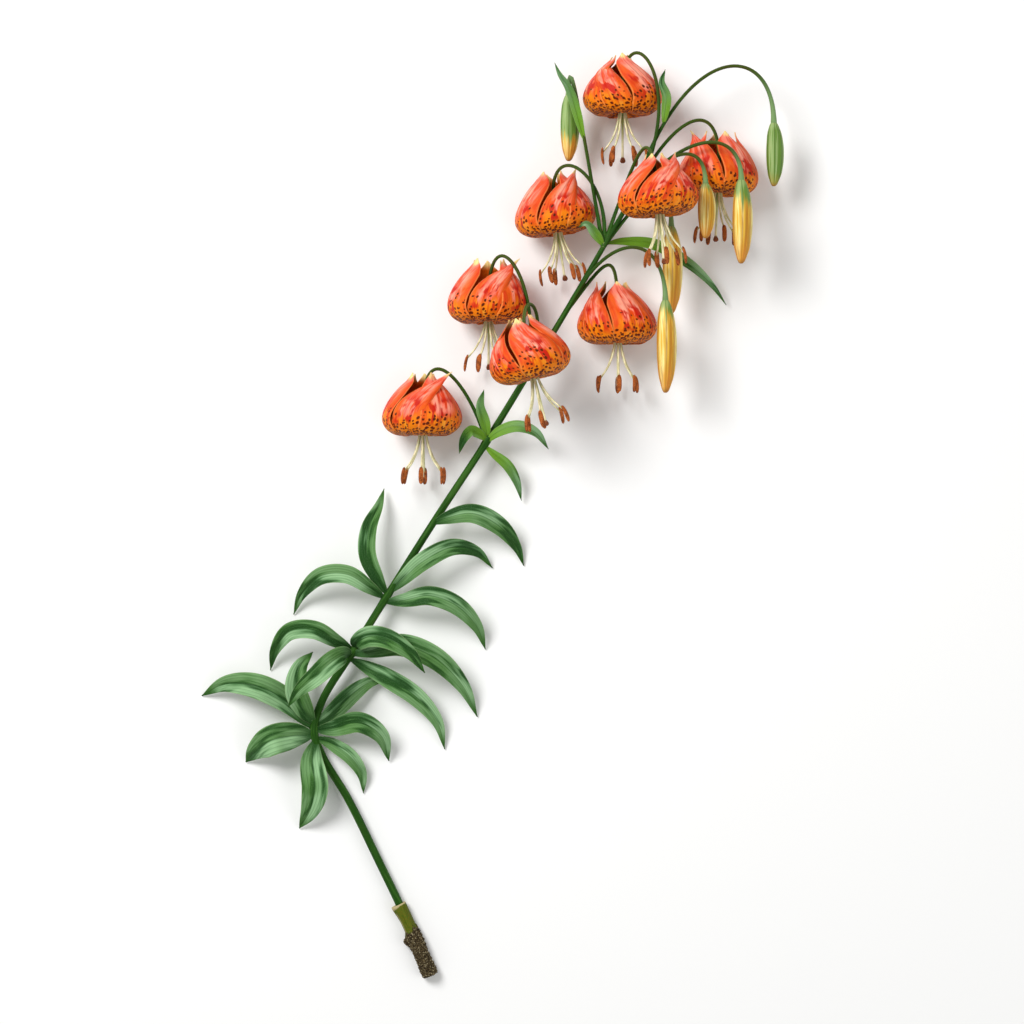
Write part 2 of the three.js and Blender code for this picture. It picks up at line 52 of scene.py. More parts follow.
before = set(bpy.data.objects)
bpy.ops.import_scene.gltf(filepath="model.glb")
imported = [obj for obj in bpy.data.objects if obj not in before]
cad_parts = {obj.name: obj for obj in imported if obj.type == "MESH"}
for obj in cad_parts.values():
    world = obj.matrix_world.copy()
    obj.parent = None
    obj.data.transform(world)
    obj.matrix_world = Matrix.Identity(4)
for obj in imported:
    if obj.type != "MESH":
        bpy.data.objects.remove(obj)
CAD_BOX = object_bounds()
BODY = "root"


def mm(values):
    """Millimetres as metres."""
    return np.asarray(values, float) * 0.001


# The places below are measured from the cut foot, and this is the middle of the whole.
ORIGIN = mm([51.2, 392.8, 0])
FIT_GAP = mm(0.3)
UP = np.array([0.0, 0.0, 1.0])
# Points that a smooth curve has between two given ones.
CURVE_STEPS = 24
# How far apart tepals, leaves and the backs of both lie in the noise that marks them.
TEPAL_SHIFT = 0.06
LEAF_SHIFT = 0.07
BACK_SHIFT = [0.5, 0, 0]

STEM_ROUTE = mm([
    (0, 0, 6.8), (-23, 53, 7), (-45, 99, 7.4), (-71, 152, 8.4), (-93, 189, 9.6), (-100, 210, 10.5),
    (-93, 236, 12), (-67, 278, 15), (-39, 323, 19), (4, 391, 23), (48, 458, 27), (82, 513, 34),
    (115, 567, 42), (147, 622, 48), (174, 669, 50),
])
# Height along Y and radius of the stem, and share of the length and radius of a flower stalk.
STEM_RADII = mm([(0, 3.4), (210, 3.3), (458, 3), (567, 2.4), (669, 1.9)])
WHORL_HEIGHTS = mm([210, 278, 325, 458])
WHORL_SPREAD = mm(5)
STALK_SHARES = [0, 0.06, 0.3, 0.9, 0.97, 1]
STALK_RADII = mm([2.1, 1.75, 1.45, 1.4, 1.75, 2.1])

# Heading of a tepal by share of its length: 0 degrees towards the mouth, 90 outwards, 180 back.
TEPAL_ROOT = mm([4.2, -1])
HEADING_SHARES = [0, 0.1, 0.17, 0.24, 0.32, 0.4, 0.48, 0.54, 0.62, 0.74, 0.88, 0.95, 1]
HEADINGS = [10, 14, 36, 80, 106, 130, 164, 190, 207, 219, 229, 216, 192]
CURL_SPREAD = 0.012
SWIRL_SPREAD = 4
# The tepal that faces up curls less than the others, and its tip sweeps across the next one's. Those behind
# it follow, so these are shares of the swirl from the lead tepal backwards.
LEAD_TEPAL = 4
LEAD_CURL = 0.975
SWIRL_SHARES = [2.6, 1.75, 1.4, 1.05, 0.9, 0.9]
LEAD_SWEEP = mm(21)
LEAD_TAPER = [[0.6, 0.8, 0.92, 1], [1, 0.86, 0.6, 0.5]]
TEPAL_FULLNESS = 0.45
TIP_WIDTH = mm(1.4)
TEPAL_WAVES = 2.6
# Half angles in degrees of outer and inner tepals where they leave the mouth, and room round a stalk.
MOUTH_ROOM = [26, 35]
STALK_CLEARANCE = mm(2.6)

# Filament route as radius and depth, and pistil profile as depth and radius, from the base of a bloom.
FILAMENT_ROUTE = mm([(2.2, 6), (3.6, 24), (10, 40), (19.5, 52)])
ANTHER_DROP = mm(3)
PISTIL_PROFILE = mm([
    (3.3, 2.6), (5, 2.9), (12, 2.8), (15, 2.1), (18, 1.3), (23, 1), (45, 0.95), (55, 1.05), (56.5, 1.2),
    (57.6, 1.9), (59, 2.3), (60.4, 2.0), (61, 1.2),
])

# How far a bud is lifted over the end of its stalk, so that no seam shows.
BUD_LIFT = mm(0.5)
BUD_PROFILE = [
    (0, 0.30), (0.08, 0.6), (0.26, 0.9), (0.5, 1), (0.74, 0.86), (0.92, 0.5), (0.98, 0.3), (1, 0.14),
]

# Foot sheath, by distance from the cut and angle from the top of the stem.
SHEATH_LENGTH = mm(67)
CRUST_LENGTH = mm(42)
SHEATH_RADIUS = mm(5.5)
CRUST_RADIUS = mm(6.5)
BORE_RADIUS = mm(3.55)
LEFT_SIDE = 1.5 * math.pi
# The dry line down the sheath, and how strongly it shows along it.
DRY_LINE = 1.68 * math.pi
DRY_LINE_REACH = [mm([38, 42, 60, 66]), [0, 0.9, 0.9, 0]]

# Distance from the middle of the stem or of a stalk at which a leaf begins.
STEM_DEPTH = mm(2.2)
STALK_DEPTH = mm(1.2)
# Ripples along an edge, and how softly a leaf folds along its middle: 0 would be a crease.
LEAF_RIPPLES = 3.4
SOFT_FOLD = 0.02

# Stage, in metres.
FLOOR_RADIUS = 12
KEY_PLACE = (-1.1, 1.0, 1.9)
KEY_SIZE = 1.1
FILL_PLACE = (1.5, -0.6, 1.5)
FILL_SIZE = 1.6

# Blooms: height where the stalk leaves the stem, first and second handle of the stalk, base of the bloom,
# way it nods, turn about its own axis, curl of the tepals and swirl of their tips.
BLOOMS = [
    (458, (-14, 50, 0), 70, (-6, 484, 32), (0, -1, 0), 0, 1, 20),
    (513, (28, 67, 4), 70, (84, 529, 88), (0.24, -0.97, 0), 8, 1, -30),
    (513, (18, 77, 26), 80, (50, 580, 32), (0, -1, 0), 20, 0.98, 15),
    (567, (35, 45, -2), 70, (160, 562, 32), (0, -1, 0), 0, 1, -20),
    (622, (10, 66, -4), 70, (106, 655, 32), (0.15, -0.99, 0), 30, 1, 25),
    (622, (28, 78, 2), 70, (191, 665, 90), (0.09, -0.99, 0), 14, 1.01, 35),
    (667, (31, 66, 0), 70, (246, 689, 32), (-0.05, -1, 0), 10, 0.99, -15),
    (667, (52, 92, 16), 76, (164, 756, 32), (0, -1, 0), 25, 1.02, -35),
]
# Buds: the same for the stalk, then length, width and how green it still is.
BUDS = [
    (567, (36, 74, 18), 58, (199, 576, 60), (0, -1, 0), 78, 17, 0.1),
    (622, (-19, 108, -2), 48, (118, 752, 36), (0, -1, -0.05), 56, 16, 0.55),
    (667, (41, 131, 6), 72, (292, 728, 40), (0, -1, 0), 54, 15, 1),
    (667, (41, 51, 20), 46, (262, 676, 72), (0, -1, -0.04), 70, 17, 0.2),
    (667, (26, 36, 16), 39, (232, 673, 72), (0, -1, 0), 46, 15, 0.05),
    (622, (43, 58, -4), 50, (205, 640, 40), (0, -1, 0), 74, 17, 0),
]
# Leaves: height where each leaves the stem, width, lift of the edges, height of the waves, middle line.
LEAVES = {
    "leaf_low": [
        (212, 22, 0.3, 1.5, [(-122, 236, 19), (-148, 250, 28), (-175, 251, 16), (-197, 240, 1.4)]),
        (207, 26, 0.15, 2, [(-118, 207, 21), (-134, 204, 29), (-148, 195, 17), (-159, 183, 2)]),
        (203, 23, 0.2, 1.4, [(-101, 186, 20), (-98, 163, 27), (-103, 143, 17), (-113, 126, 2)]),
        (205, 13, 0.25, 0.8, [(-84, 199, 12), (-68, 188, 14), (-59, 173, 8), (-58, 156, 1.4)]),
        (211, 18, 0.25, 1.2, [(-84, 213, 17), (-60, 219, 28), (-42, 207, 20), (-36, 184, 3)]),
        (216, 19, 0.35, 1.2, [(-108, 230, 20), (-114, 248, 30), (-111, 266, 24), (-101, 278, 12)]),
        (214, 16, 0.2, 1, [(-82, 228, 12), (-66, 243, 14), (-52, 252, 9), (-36, 254, 3)]),
    ],
    "leaf_middle": [
        (280, 16, 0.3, 1,
         [(-80, 288, 26), (-98, 298, 36), (-118, 297, 32), (-133, 280, 14), (-138, 262, 1.6)]),
        (276, 20, 0.25, 1.5,
         [(-50, 280, 24), (-24, 285, 32), (4, 274, 30), (28, 249, 16), (40, 222, 1.6)]),
        (282, 18, 0.3, 1,
         [(-62, 287, 32), (-50, 293, 48), (-34, 291, 58), (-16, 279, 54), (-4, 262, 44)]),
        (273, 17, 0.25, 1.4,
         [(-56, 266, 14), (-36, 256, 20), (-12, 240, 18), (6, 218, 10), (12, 194, 1.6)]),
        (275, 18, 0.25, 1.2,
         [(-73, 277, 32), (-83, 271, 48), (-95, 260, 58), (-110, 247, 50), (-120, 233, 40)]),
    ],
    "leaf_upper": [
        (324, 16, 0.3, 1,
         [(-52, 334, 28), (-70, 345, 34), (-92, 344, 28), (-110, 328, 12), (-118, 310, 1.6)]),
        (321, 17, 0.25, 1.2,
         [(-22, 323, 26), (0, 327, 34), (22, 319, 30), (40, 300, 16), (47, 280, 1.6)]),
        (328, 16, 0.3, 1.2,
         [(-24, 340, 24), (-6, 356, 30), (18, 368, 28), (40, 364, 14), (53, 350, 1.6)]),
        (327, 15, 0.3, 1.2,
         [(-45, 342, 28), (-53, 362, 34), (-52, 384, 28), (-44, 404, 16), (-40, 418, 6)]),
    ],
    "leaf_single": [
        (388, 17, 0.25, 1.2,
         [(14, 393, 30), (36, 397, 34), (58, 387, 24), (74, 368, 8), (80, 352, 1.6)]),
    ],
}
# Bracts: the same as leaves, where a pair instead of a height names a bud and a share of its stalk.
BRACTS = [
    (460, 9, 0.3, 0.5, [(47, 474, 36), (43, 488, 40), (46, 502, 34)]),
    (457, 10, 0.3, 0.6, [(58, 466, 34), (74, 471, 38), (90, 466, 32), (101, 452, 20)]),
    (455, 9, 0.3, 0.5, [(54, 448, 26), (66, 438, 22), (74, 424, 14), (78, 408, 6)]),
    (459, 9, 0.3, 0.5, [(41, 465, 36), (35, 467, 41), (29, 460, 39), (25, 448, 33)]),
    (625, 10, 0.3, 0.7, [(164, 628, 36), (192, 626, 26), (222, 610, 18), (242, 592, 12), (254, 576, 6)]),
    (623, 8, 0.3, 0.3, [(140, 633, 54), (132, 641, 59), (126, 638, 58)]),
    ((2, 0.55), 8, 0.3, 0.3, [(118, 756, 49), (110, 768, 52), (106, 778, 48)]),
    ((3, 0.3), 8, 0.3, 0.3, [(200, 748, 58), (196, 760, 60), (199, 771, 57)]),
]
# Seeds of the grains of soil, and of the bracts on from this one. Those of the leaves begin at 1.
GRAIN_SEED = 7
BRACT_SEED = 50


# Settings


def length(name, description, default):
    return FloatProperty(name=name, description=description, default=default, unit="LENGTH", precision=5)


def degrees(name, description, default):
    return FloatProperty(name=name, description=description, default=math.radians(default), subtype="ANGLE")


def share(name, description, default):
    return FloatProperty(name=name, description=description, default=default, subtype="FACTOR")


def whole(name, description, default, least):
    return IntProperty(name=name, description=description, default=default, min=least)


def colour(name, description, default):
    return FloatVectorProperty(
        name=name, description=description, default=default, subtype="COLOR", min=0, max=1,
    )


class TepalSettings(bpy.types.PropertyGroup):
    """Sizes and colours of the six tepals of a bloom"""

    length: length("Length", "Length of a tepal along its middle", 0.096)
    outer_width: length("Outer width", "Greatest width of an outer tepal", 0.033)
    inner_width: length("Inner width", "Greatest width of an inner tepal", 0.041)
    outer_room: degrees("Outer room", "Half angle round the axis of an outer tepal", 28)
    inner_room: degrees("Inner room", "Half angle round the axis of an inner tepal", 39)
    lap: length("Lap", "How far the inner tepals lie over the outer ones", 0.0012)
    thickness: length("Thickness", "Thickness along the middle", 0.0009)
    margin: length("Margin", "Thickness along the edges", 0.0004)
    groove: length("Groove", "Depth of the groove along the middle", 0.00045)
    wave: length("Wave", "Height of the waves along the edges", 0.0005)
    roll: length("Roll", "How far the edges roll inwards on the turned-back half", 0.0008)
    rows: whole("Rows", "Rows of faces along a tepal", 80, 12)
    columns: whole("Columns", "Rows of faces across a tepal", 22, 4)
    spot: length("Spot spacing", "Distance between the large spots", 0.0038)
    gold: colour("Gold", "Colour near the mouth", (0.82, 0.215, 0.003))
    flame: colour("Flame", "Colour where gold turns to coral", (0.74, 0.068, 0.004))
    coral: colour("Coral", "Colour of the turned-back half", (0.80, 0.078, 0.022))
    # Painted highlight: besides the pink stop near the tip, this colour paints the pale sheen where light
    # would catch the coral.
    blush_and_sheen: colour("Blush", "Colour of the pale sheen on the coral", (0.93, 0.24, 0.17))
    scarlet: colour("Scarlet", "Colour of the deep red streaks", (0.52, 0.010, 0.003))
    cream: colour("Cream", "Colour of the tip", (0.93, 0.70, 0.28))
    maroon: colour("Maroon", "Colour of the spots", (0.100, 0.012, 0.001))
    rust: colour("Rust", "Colour round the spots and at the mouth", (0.34, 0.055, 0.003))
    back: colour("Back", "Colour of the back of a tepal", (0.74, 0.14, 0.006))


class StamenSettings(bpy.types.PropertyGroup):
    """Sizes and colours of the stamens and the pistil"""

    filament: length("Filament radius", "Radius of a filament at its base", 0.00105)
    anther_length: length("Anther length", "Length of an anther", 0.015)
    anther_width: length("Anther width", "Width of an anther", 0.0042)
    sides: whole("Sides", "Faces round a filament", 10, 3)
    cream: colour("Filament", "Colour of the filaments", (0.80, 0.74, 0.46))
    olive: colour("Streak", "Colour of the streaks down the filaments", (0.30, 0.30, 0.09))
    rust: colour("Anther", "Colour of the pollen", (0.40, 0.095, 0.018))
    green: colour("Pistil", "Colour of the ovary and the style", (0.36, 0.42, 0.13))


class BudSettings(bpy.types.PropertyGroup):
    """Shape and colours of the buds"""

    rib: share("Rib", "Height of the three ribs as a share of the radius", 0.07)
    seam: share("Seam", "Depth of the six seams as a share of the radius", 0.05)
    bend: length("Bend", "How far the middle of a bud bows out", 0.0006)
    sides: whole("Sides", "Faces round a bud", 60, 12)
    rings: whole("Rings", "Faces along a bud", 72, 12)
    gold: colour("Gold", "Colour of a ripe bud", (0.76, 0.45, 0.05))
    pale: colour("Pale", "Colour along the ribs", (0.95, 0.84, 0.32))
    amber: colour("Amber", "Colour along the seams", (0.44, 0.165, 0.012))
    green: colour("Green", "Colour of a young bud", (0.13, 0.25, 0.035))
    glaucous: colour("Glaucous", "Colour of the pale stripes and of the cap", (0.31, 0.43, 0.155))


class LeafSettings(bpy.types.PropertyGroup):
    """Shape and colours of the leaves and bracts"""

    thickness: length("Thickness", "Thickness along the middle", 0.0009)
    margin: length("Margin", "Thickness along the edges", 0.0004)
    keel: length("Keel", "Depth of the channel along the middle", 0.0005)
    waves: FloatProperty(name="Waves", description="Waves along an edge", default=1.3)
    rows: whole("Rows", "Rows of faces along a leaf", 64, 8)
    columns: whole("Columns", "Rows of faces across a leaf", 20, 4)
    upper: colour("Upper face", "Colour of the upper face", (0.065, 0.185, 0.055))
    # Painted highlight: this sheen stands for light caught by the upper face.
    sheen: colour("Sheen", "Colour of the pale bloom on the upper face", (0.29, 0.50, 0.25))
    # Painted shade: in the folds this colour stands for shade; it also darkens the veins, random patches
    # and the part near the root.
    deep: colour("Deep", "Colour near the root, the tip and in the folds", (0.008, 0.050, 0.005))
    # Besides the fresher leaves, this colour paints shade over one half of each leaf, as if that half faced
    # away from the light.
    grass_and_half_shade: colour("Grass", "Colour of the fresher leaves and halves", (0.045, 0.150, 0.010))
    under: colour("Under face", "Colour of the under face", (0.060, 0.170, 0.012))
    lime: colour("Lime", "Colour at the base of a bract", (0.16, 0.34, 0.018))
    edge: colour("Edge", "Colour of the thin margin", (0.30, 0.42, 0.20))


class StemSettings(bpy.types.PropertyGroup):
    """Shape and colours of the stem, its stalks and the sheath on its foot"""

    whorl: length("Whorl swelling", "How far the stem swells at a whorl", 0.0005)
    ribs: whole("Ribs", "Low ribs round the stem", 9, 0)
    rib: share("Rib depth", "Depth of the ribs as a share of the radius", 0.025)
    sides: whole("Sides", "Faces round the stem", 36, 8)
    lump: length("Lump", "Height of the lumps in the soil crust", 0.0006)
    grain: length("Grain", "Size of a grain of soil", 0.0012)
    grains: whole("Grains", "Grains of soil to a square centimetre", 70, 0)
    green: colour("Stem", "Colour of the stem", (0.012, 0.060, 0.003))
    light: colour("Light", "Colour of the pale streaks", (0.038, 0.122, 0.013))
    olive: colour("Stalk", "Colour of the flower stalks near the blooms", (0.052, 0.100, 0.013))
    glaucous: colour("Glaucous", "Colour of a stalk where it meets a bud", (0.18, 0.30, 0.115))
    sheath: colour("Sheath", "Colour of the sheath", (0.060, 0.092, 0.003))
    rim: colour("Rim", "Colour of the dry rim of the sheath", (0.46, 0.38, 0.20))
    soil: colour("Soil", "Colour of the wet soil", (0.020, 0.012, 0.005))
    tan: colour("Sand", "Colour of the pale grains", (0.29, 0.235, 0.115))


class StageSettings(bpy.types.PropertyGroup):
    """Camera, light and floor"""

    width: length("View width", "Width of the view at the middle of the stem", 0.8704)
    centre: FloatVectorProperty(
        name="View centre", description="Middle of the view", unit="LENGTH",
        default=(0.0187, 0.0053, 0.035),
    )
    distance: length("Distance", "Height of the camera over the middle of the stem", 2.6)
    key: FloatProperty(name="Key light", description="Power of the main light", default=50, unit="POWER")
    fill: FloatProperty(name="Fill light", description="Power of the fill light", default=9, unit="POWER")
    sky: FloatProperty(name="Sky", description="Strength of the even light from all round", default=0.46)
    floor: colour("Floor", "Colour of the floor", (0.90, 0.90, 0.89))


# Curves


def jitter(seed):
    """Repeatable noise from a whole number, between -1 and 1."""
    wave = math.sin(seed * 12.9898 + 4.1) * 43758.5453
    return 2 * (wave - math.floor(wave)) - 1


def bump(distance, spread):
    """A soft hump, 1 high, that falls away on both sides."""
    return np.exp(-((distance / spread) ** 2))


def softly_above(heights, floor):
    """Presses heights up from the surface, with a soft turn over half a millimetre."""
    over = heights - floor
    return floor + (over + np.sqrt(over**2 + mm(0.5) ** 2)) / 2


def unit(vectors):
    """Vectors brought to length 1."""
    return vectors / np.linalg.norm(vectors, axis=-1, keepdims=True)


def circle(sides):
    """Angles evenly round a circle, in one row."""
    return np.linspace(0, 2 * math.pi, sides + 1)[None, :-1]


def travelled(points, axis=0):
    """Distance from the first point of each line of points, along an axis of the array."""
    steps = np.diff(points, axis=axis, prepend=np.take(points, [0], axis))
    return np.cumsum(np.linalg.norm(steps, axis=-1), axis=axis)


def smooth(points):
    """Centripetal curve through the points, as a dense polyline."""
    points = np.vstack([2 * points[0] - points[1], points, 2 * points[-1] - points[-2]])
    gaps = np.sqrt(np.linalg.norm(np.diff(points, axis=0), axis=1))
    t = np.linspace(0, 1, CURVE_STEPS, endpoint=False)[:, None]
    line = []
    for i in range(1, len(points) - 2):
        before, a, b, after = points[i - 1 : i + 3]
        first, middle, last = gaps[i - 1 : i + 2]
        leave = b - a + middle * ((a - before) / first - (b - before) / (first + middle))
        reach = b - a + middle * ((after - b) / last - (after - a) / (middle + last))
        line.append(
            (2 * t**3 - 3 * t**2 + 1) * a + (t**3 - 2 * t**2 + t) * leave
            + (3 * t**2 - 2 * t**3) * b + (t**3 - t**2) * reach
        )
    return np.vstack([*line, points[-2]])


class Line:
    """A polyline that is read by the share of its length."""

    def __init__(self, points):
        self.points = points
        self.marks = travelled(points)
        self.length = self.marks[-1]

    def at(self, shares):
        marks = np.asarray(shares) * self.length
        return np.stack([np.interp(marks, self.marks, column) for column in self.points.T], axis=-1)

    def tangent(self, shares, step=0.004):
        """The way that the line runs, between a step back and a step on."""
        shares = np.asarray(shares)
        return unit(self.at(np.minimum(shares + step, 1)) - self.at(np.maximum(shares - step, 0)))


STEM = Line(smooth(STEM_ROUTE))


def on_stem(height):
    """Point of the stem's middle line at a height along Y in millimetres."""
    return STEM.at(np.interp(mm(height), STEM.points[:, 1], STEM.marks) / STEM.length)


class Place:
    """Where a bloom or bud hangs. Its own +Z points back along its stalk, and its mouth lies below."""

    def __init__(self, start, rise, drop, at, nod, turn=0):
        self.at = mm(at)
        self.back = -unit(np.array(nod, float))
        aim = Vector(UP).rotation_difference(Vector(self.back)).to_matrix()
        self.turned = aim @ Matrix.Rotation(math.radians(turn), 3, "Z")
        root = on_stem(start)
        end = self.at + self.back * FIT_GAP
        self.handles = [root, root + mm(rise), end + self.back * mm(drop), end]

    def stalk(self):
        """The arching stalk, from the middle of the stem to the end of its gap."""
        a, b, c, d = self.handles
        t = np.linspace(0, 1, 97)[:, None]
        return Line((1 - t) ** 3 * a + 3 * t * (1 - t) ** 2 * b + 3 * t**2 * (1 - t) * c + t**3 * d)

    def points(self, angle, radius, height):
        """Points in the shared frame, from cylinder coordinates in the bloom or bud."""
        angle, radius, height = np.broadcast_arrays(angle, radius, height)
        own = np.stack([radius * np.cos(angle), radius * np.sin(angle), height], axis=-1)
        return own @ np.array(self.turned).T + self.at - ORIGIN

    def outward(self, angle):
        """The way out from the axis at an angle, of length 1."""
        return self.points(angle, 1, 0) - self.points(angle, 0, 0)

    def matrix(self):
        return Matrix.Translation(Vector(self.at - ORIGIN)) @ self.turned.to_4x4()


BLOOM_PLACES = [Place(*row[:6]) for row in BLOOMS]
BUD_PLACES = [Place(*row[:5]) for row in BUDS]


# Meshes


class Shell:
    """Collects closed skins, with the values that their material reads, into one mesh."""

    def __init__(self):
        self.points = []
        self.faces = []
        self.values = {}
        self.count = 0

    def add(self, points, faces, **values):
        points = points.reshape(-1, 3)
        self.faces += [[corner + self.count for corner in face] for face in faces]
        self.count += len(points)
        self.points.append(points)
        for name, value in values.items():
            self.values.setdefault(name, []).append(value)

    def mesh(self, name):
        mesh = bpy.data.meshes.new(name)
        mesh.from_pydata(np.vstack(self.points).tolist(), [], self.faces)
        for label, parts in self.values.items():
            store(mesh, label, parts)
        return mesh


def skin_mesh(name, points, faces, **values):
    """A mesh of one closed skin."""
    shell = Shell()
    shell.add(points, faces, **values)
    return shell.mesh(name)


def store(mesh, label, parts):
    """Keeps numbers or vectors for each vertex under a name."""
    vectors = parts[0].ndim > 1 and parts[0].shape[-1] == 3
    values = np.vstack([part.reshape(-1, 3 if vectors else 1) for part in parts])
    made = mesh.attributes.new(label, "FLOAT_VECTOR" if vectors else "FLOAT", "POINT")
    made.data.foreach_set("vector" if vectors else "value", values.astype(np.float32).ravel())


def loft_faces(rings, sides):
    """Faces of a skin through rings that turn counter-clockwise as seen from the last one."""
    ring, side = np.meshgrid(np.arange(rings - 1), np.arange(sides), indexing="ij")
    a = (ring * sides + side).ravel()
    b = (ring * sides + (side + 1) % sides).ravel()
    return np.stack([a, b, b + sides, a + sides], axis=1)


def closed_loft(rings):
    """Points and faces of a skin through rings, with a point in the middle of each end."""
    count, sides, _ = rings.shape
    around = np.arange(sides)
    after = (around + 1) % sides
    first = np.full(sides, count * sides)
    start = np.stack([after, around, first], axis=1)
    top = (count - 1) * sides
    end = np.stack([top + around, top + after, first + 1], axis=1)
    points = np.vstack([rings.reshape(-1, 3), rings[0].mean(0), rings[-1].mean(0)])
    return points, [*loft_faces(count, sides).tolist(), *start.tolist(), *end.tolist()]


def tube_faces(count, sides):
    """Faces of a tube with a wall: its outside, its bore and the rims at both ends."""
    outside = loft_faces(count, sides)
    inner = count * sides
    last = inner - sides
    around = np.arange(sides)
    after = (around + 1) % sides
    start = np.stack([around, around + inner, after + inner, after], axis=1)
    return np.vstack([outside, outside[:, ::-1] + inner, start, start[:, ::-1] + last]).tolist()


def with_ends(values):
    """Values on the rings of a loft, and at the middle of each end."""
    ends = np.stack([values[0].mean(0), values[-1].mean(0)])
    return np.concatenate([values.reshape(-1, *values.shape[2:]), ends])


def on_both(**values):
    """The same values for the two faces of a sheet or the two skins of a tube."""
    return {name: np.stack([value, value]) for name, value in values.items()}


def grid_normals(grid):
    """The way out of a grid of points at each of them."""
    return unit(np.cross(np.gradient(grid, axis=0), np.gradient(grid, axis=1)))


def add_sheet(shell, grid, thickness, along, across, offset):
    """Adds a closed sheet over a grid of points. front is 1 on the face that the normals point out of."""
    rows, columns, _ = grid.shape
    middle = columns // 2
    normals = grid_normals(grid) * thickness[..., None] / 2
    row, column = np.meshgrid(np.arange(rows - 1), np.arange(columns - 1), indexing="ij")
    a = (row * columns + column).ravel()
    top = np.stack([a, a + columns, a + columns + 1, a + 1], axis=1)
    under = rows * columns
    rim = np.concatenate([
        np.arange(rows - 1) * columns,
        (rows - 1) * columns + np.arange(columns - 1),
        np.arange(rows - 1, 0, -1) * columns + columns - 1,
        np.arange(columns - 1, 0, -1),
    ])
    after = np.roll(rim, -1)
    edge = np.stack([rim, rim + under, after + under, after], axis=1)
    reach = travelled(grid, 1)
    sideways = reach - reach[:, middle][:, None]
    forward = np.broadcast_to(travelled(grid[:, middle])[:, None], sideways.shape)
    skin = np.stack([sideways + offset, forward, np.zeros_like(forward)], axis=-1)
    shell.add(
        np.stack([grid + normals, grid - normals]), np.vstack([top, top[:, ::-1] + under, edge]).tolist(),
        **on_both(along=along, across=across),
        front=np.stack([np.ones_like(along), np.zeros_like(along)]),
        skin=np.stack([skin, skin + BACK_SHIFT]),
    )


def in_scene(name, data):
    """A new object in the scene."""
    made = bpy.data.objects.new(name, data)
    bpy.context.scene.collection.objects.link(made)
    return made


def plain_mesh(holder):
    """The mesh that an object's modifiers make."""
    depsgraph = bpy.context.evaluated_depsgraph_get()
    return bpy.data.meshes.new_from_object(holder.evaluated_get(depsgraph), depsgraph=depsgraph)


def new_piece(name, mesh, material, node, slot):
    """Makes the finished piece that stands for a node of the solid model."""
    if material is not None:
        mesh.materials.clear()
        mesh.materials.append(material)
    mesh.validate()
    mesh.shade_smooth()
    piece = in_scene(name, mesh)
    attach(piece, BODY)
    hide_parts(node)


# Nodes


class Wire:
    """A node's output that can stand in Python sums."""

    def __init__(self, sheet, socket):
        self.sheet = sheet
        self.socket = socket

    def other(self, output):
        """Another output of the same node."""
        return Wire(self.sheet, self.socket.node.outputs[output])

    def __add__(self, other):
        return self.sheet.math("ADD", self, other)

    def __sub__(self, other):
        return self.sheet.math("SUBTRACT", self, other)

    def __rsub__(self, other):
        return self.sheet.math("SUBTRACT", other, self)

    def __mul__(self, other):
        return self.sheet.math("MULTIPLY", self, other)

    def __truediv__(self, other):
        return self.sheet.math("DIVIDE", self, other)

    def __rtruediv__(self, other):
        return self.sheet.math("DIVIDE", other, self)

    def __abs__(self):
        return self.sheet.math("ABSOLUTE", self)

    def __neg__(self):
        return self.sheet.math("MULTIPLY", self, -1)

    __radd__ = __add__
    __rmul__ = __mul__


class Sheet:
    """A node tree that is written as Python expressions."""

    COLUMNS = 8
    SPACING = (220, -260)

    def __init__(self, tree):
        self.tree = tree

    def add(self, kind, settings=None, inputs=None, output=0):
        """Adds a node: its settings first, then the values or wires of its sockets. Returns one output."""
        node = self.tree.nodes.new(kind)
        count = len(self.tree.nodes)
        node.location = (count % self.COLUMNS * self.SPACING[0], count // self.COLUMNS * self.SPACING[1])
        for name, value in (settings or {}).items():
            if name == "stops":
                self.set_stops(node.color_ramp.elements, value)
            elif name == "points":
                self.set_curve(node.mapping, value)
            elif name == "captures":
                node.capture_items.new(value, "Value")
            else:
                setattr(node, name, value)
        for key, value in (inputs or {}).items():
            self.feed(node.inputs[key], value)
        return Wire(self, node.outputs[output])

    def feed(self, socket, value):
        if isinstance(value, Wire):
            self.tree.links.new(value.socket, socket)
        elif socket.type == "RGBA" and len(value) == 3:
            socket.default_value = (*value, 1)
        else:
            socket.default_value = value

    def set_stops(self, elements, stops):
        while len(elements) < len(stops):
            elements.new(0.5)
        for element, (place, value) in zip(elements, stops):
            element.position = place
            element.color = (*value, 1)

    def set_curve(self, mapping, points):
        curve = mapping.curves[0]
        while len(curve.points) < len(points):
            curve.points.new(0.5, 0.5)
        for point, place in zip(curve.points, points):
            point.location = place
        mapping.update()

    def math(self, operation, *values):
        return self.add("ShaderNodeMath", {"operation": operation}, dict(enumerate(values)))

    def vector(self, operation, *values):
        return self.add("ShaderNodeVectorMath", {"operation": operation}, dict(enumerate(values)))

    def scaled(self, vector, factor):
        """A vector times a number."""
        return self.add("ShaderNodeVectorMath", {"operation": "SCALE"}, {0: vector, 3: factor})

    def combined(self, *values):
        """A vector of three numbers."""
        return self.add("ShaderNodeCombineXYZ", inputs=dict(enumerate(values)))

    def parts(self, vector):
        """The three numbers of a vector or colour."""
        first = self.add("ShaderNodeSeparateXYZ", inputs={0: vector})
        return [first.other(number) for number in range(3)]

    def rise(self, value, low, high):
        """A smooth step from 0 at low to 1 at high, which may lie below low."""
        settings = {"interpolation_type": "SMOOTHSTEP"}
        if not isinstance(low, Wire) and low > high:
            return 1 - self.rise(value, high, low)
        return self.add("ShaderNodeMapRange", settings, {0: value, 1: low, 2: high})

    def band(self, value, low, high, soft):
        """1 between low and high, with soft ends outside them."""
        return self.rise(value, low - soft, low) * self.rise(value, high + soft, high)


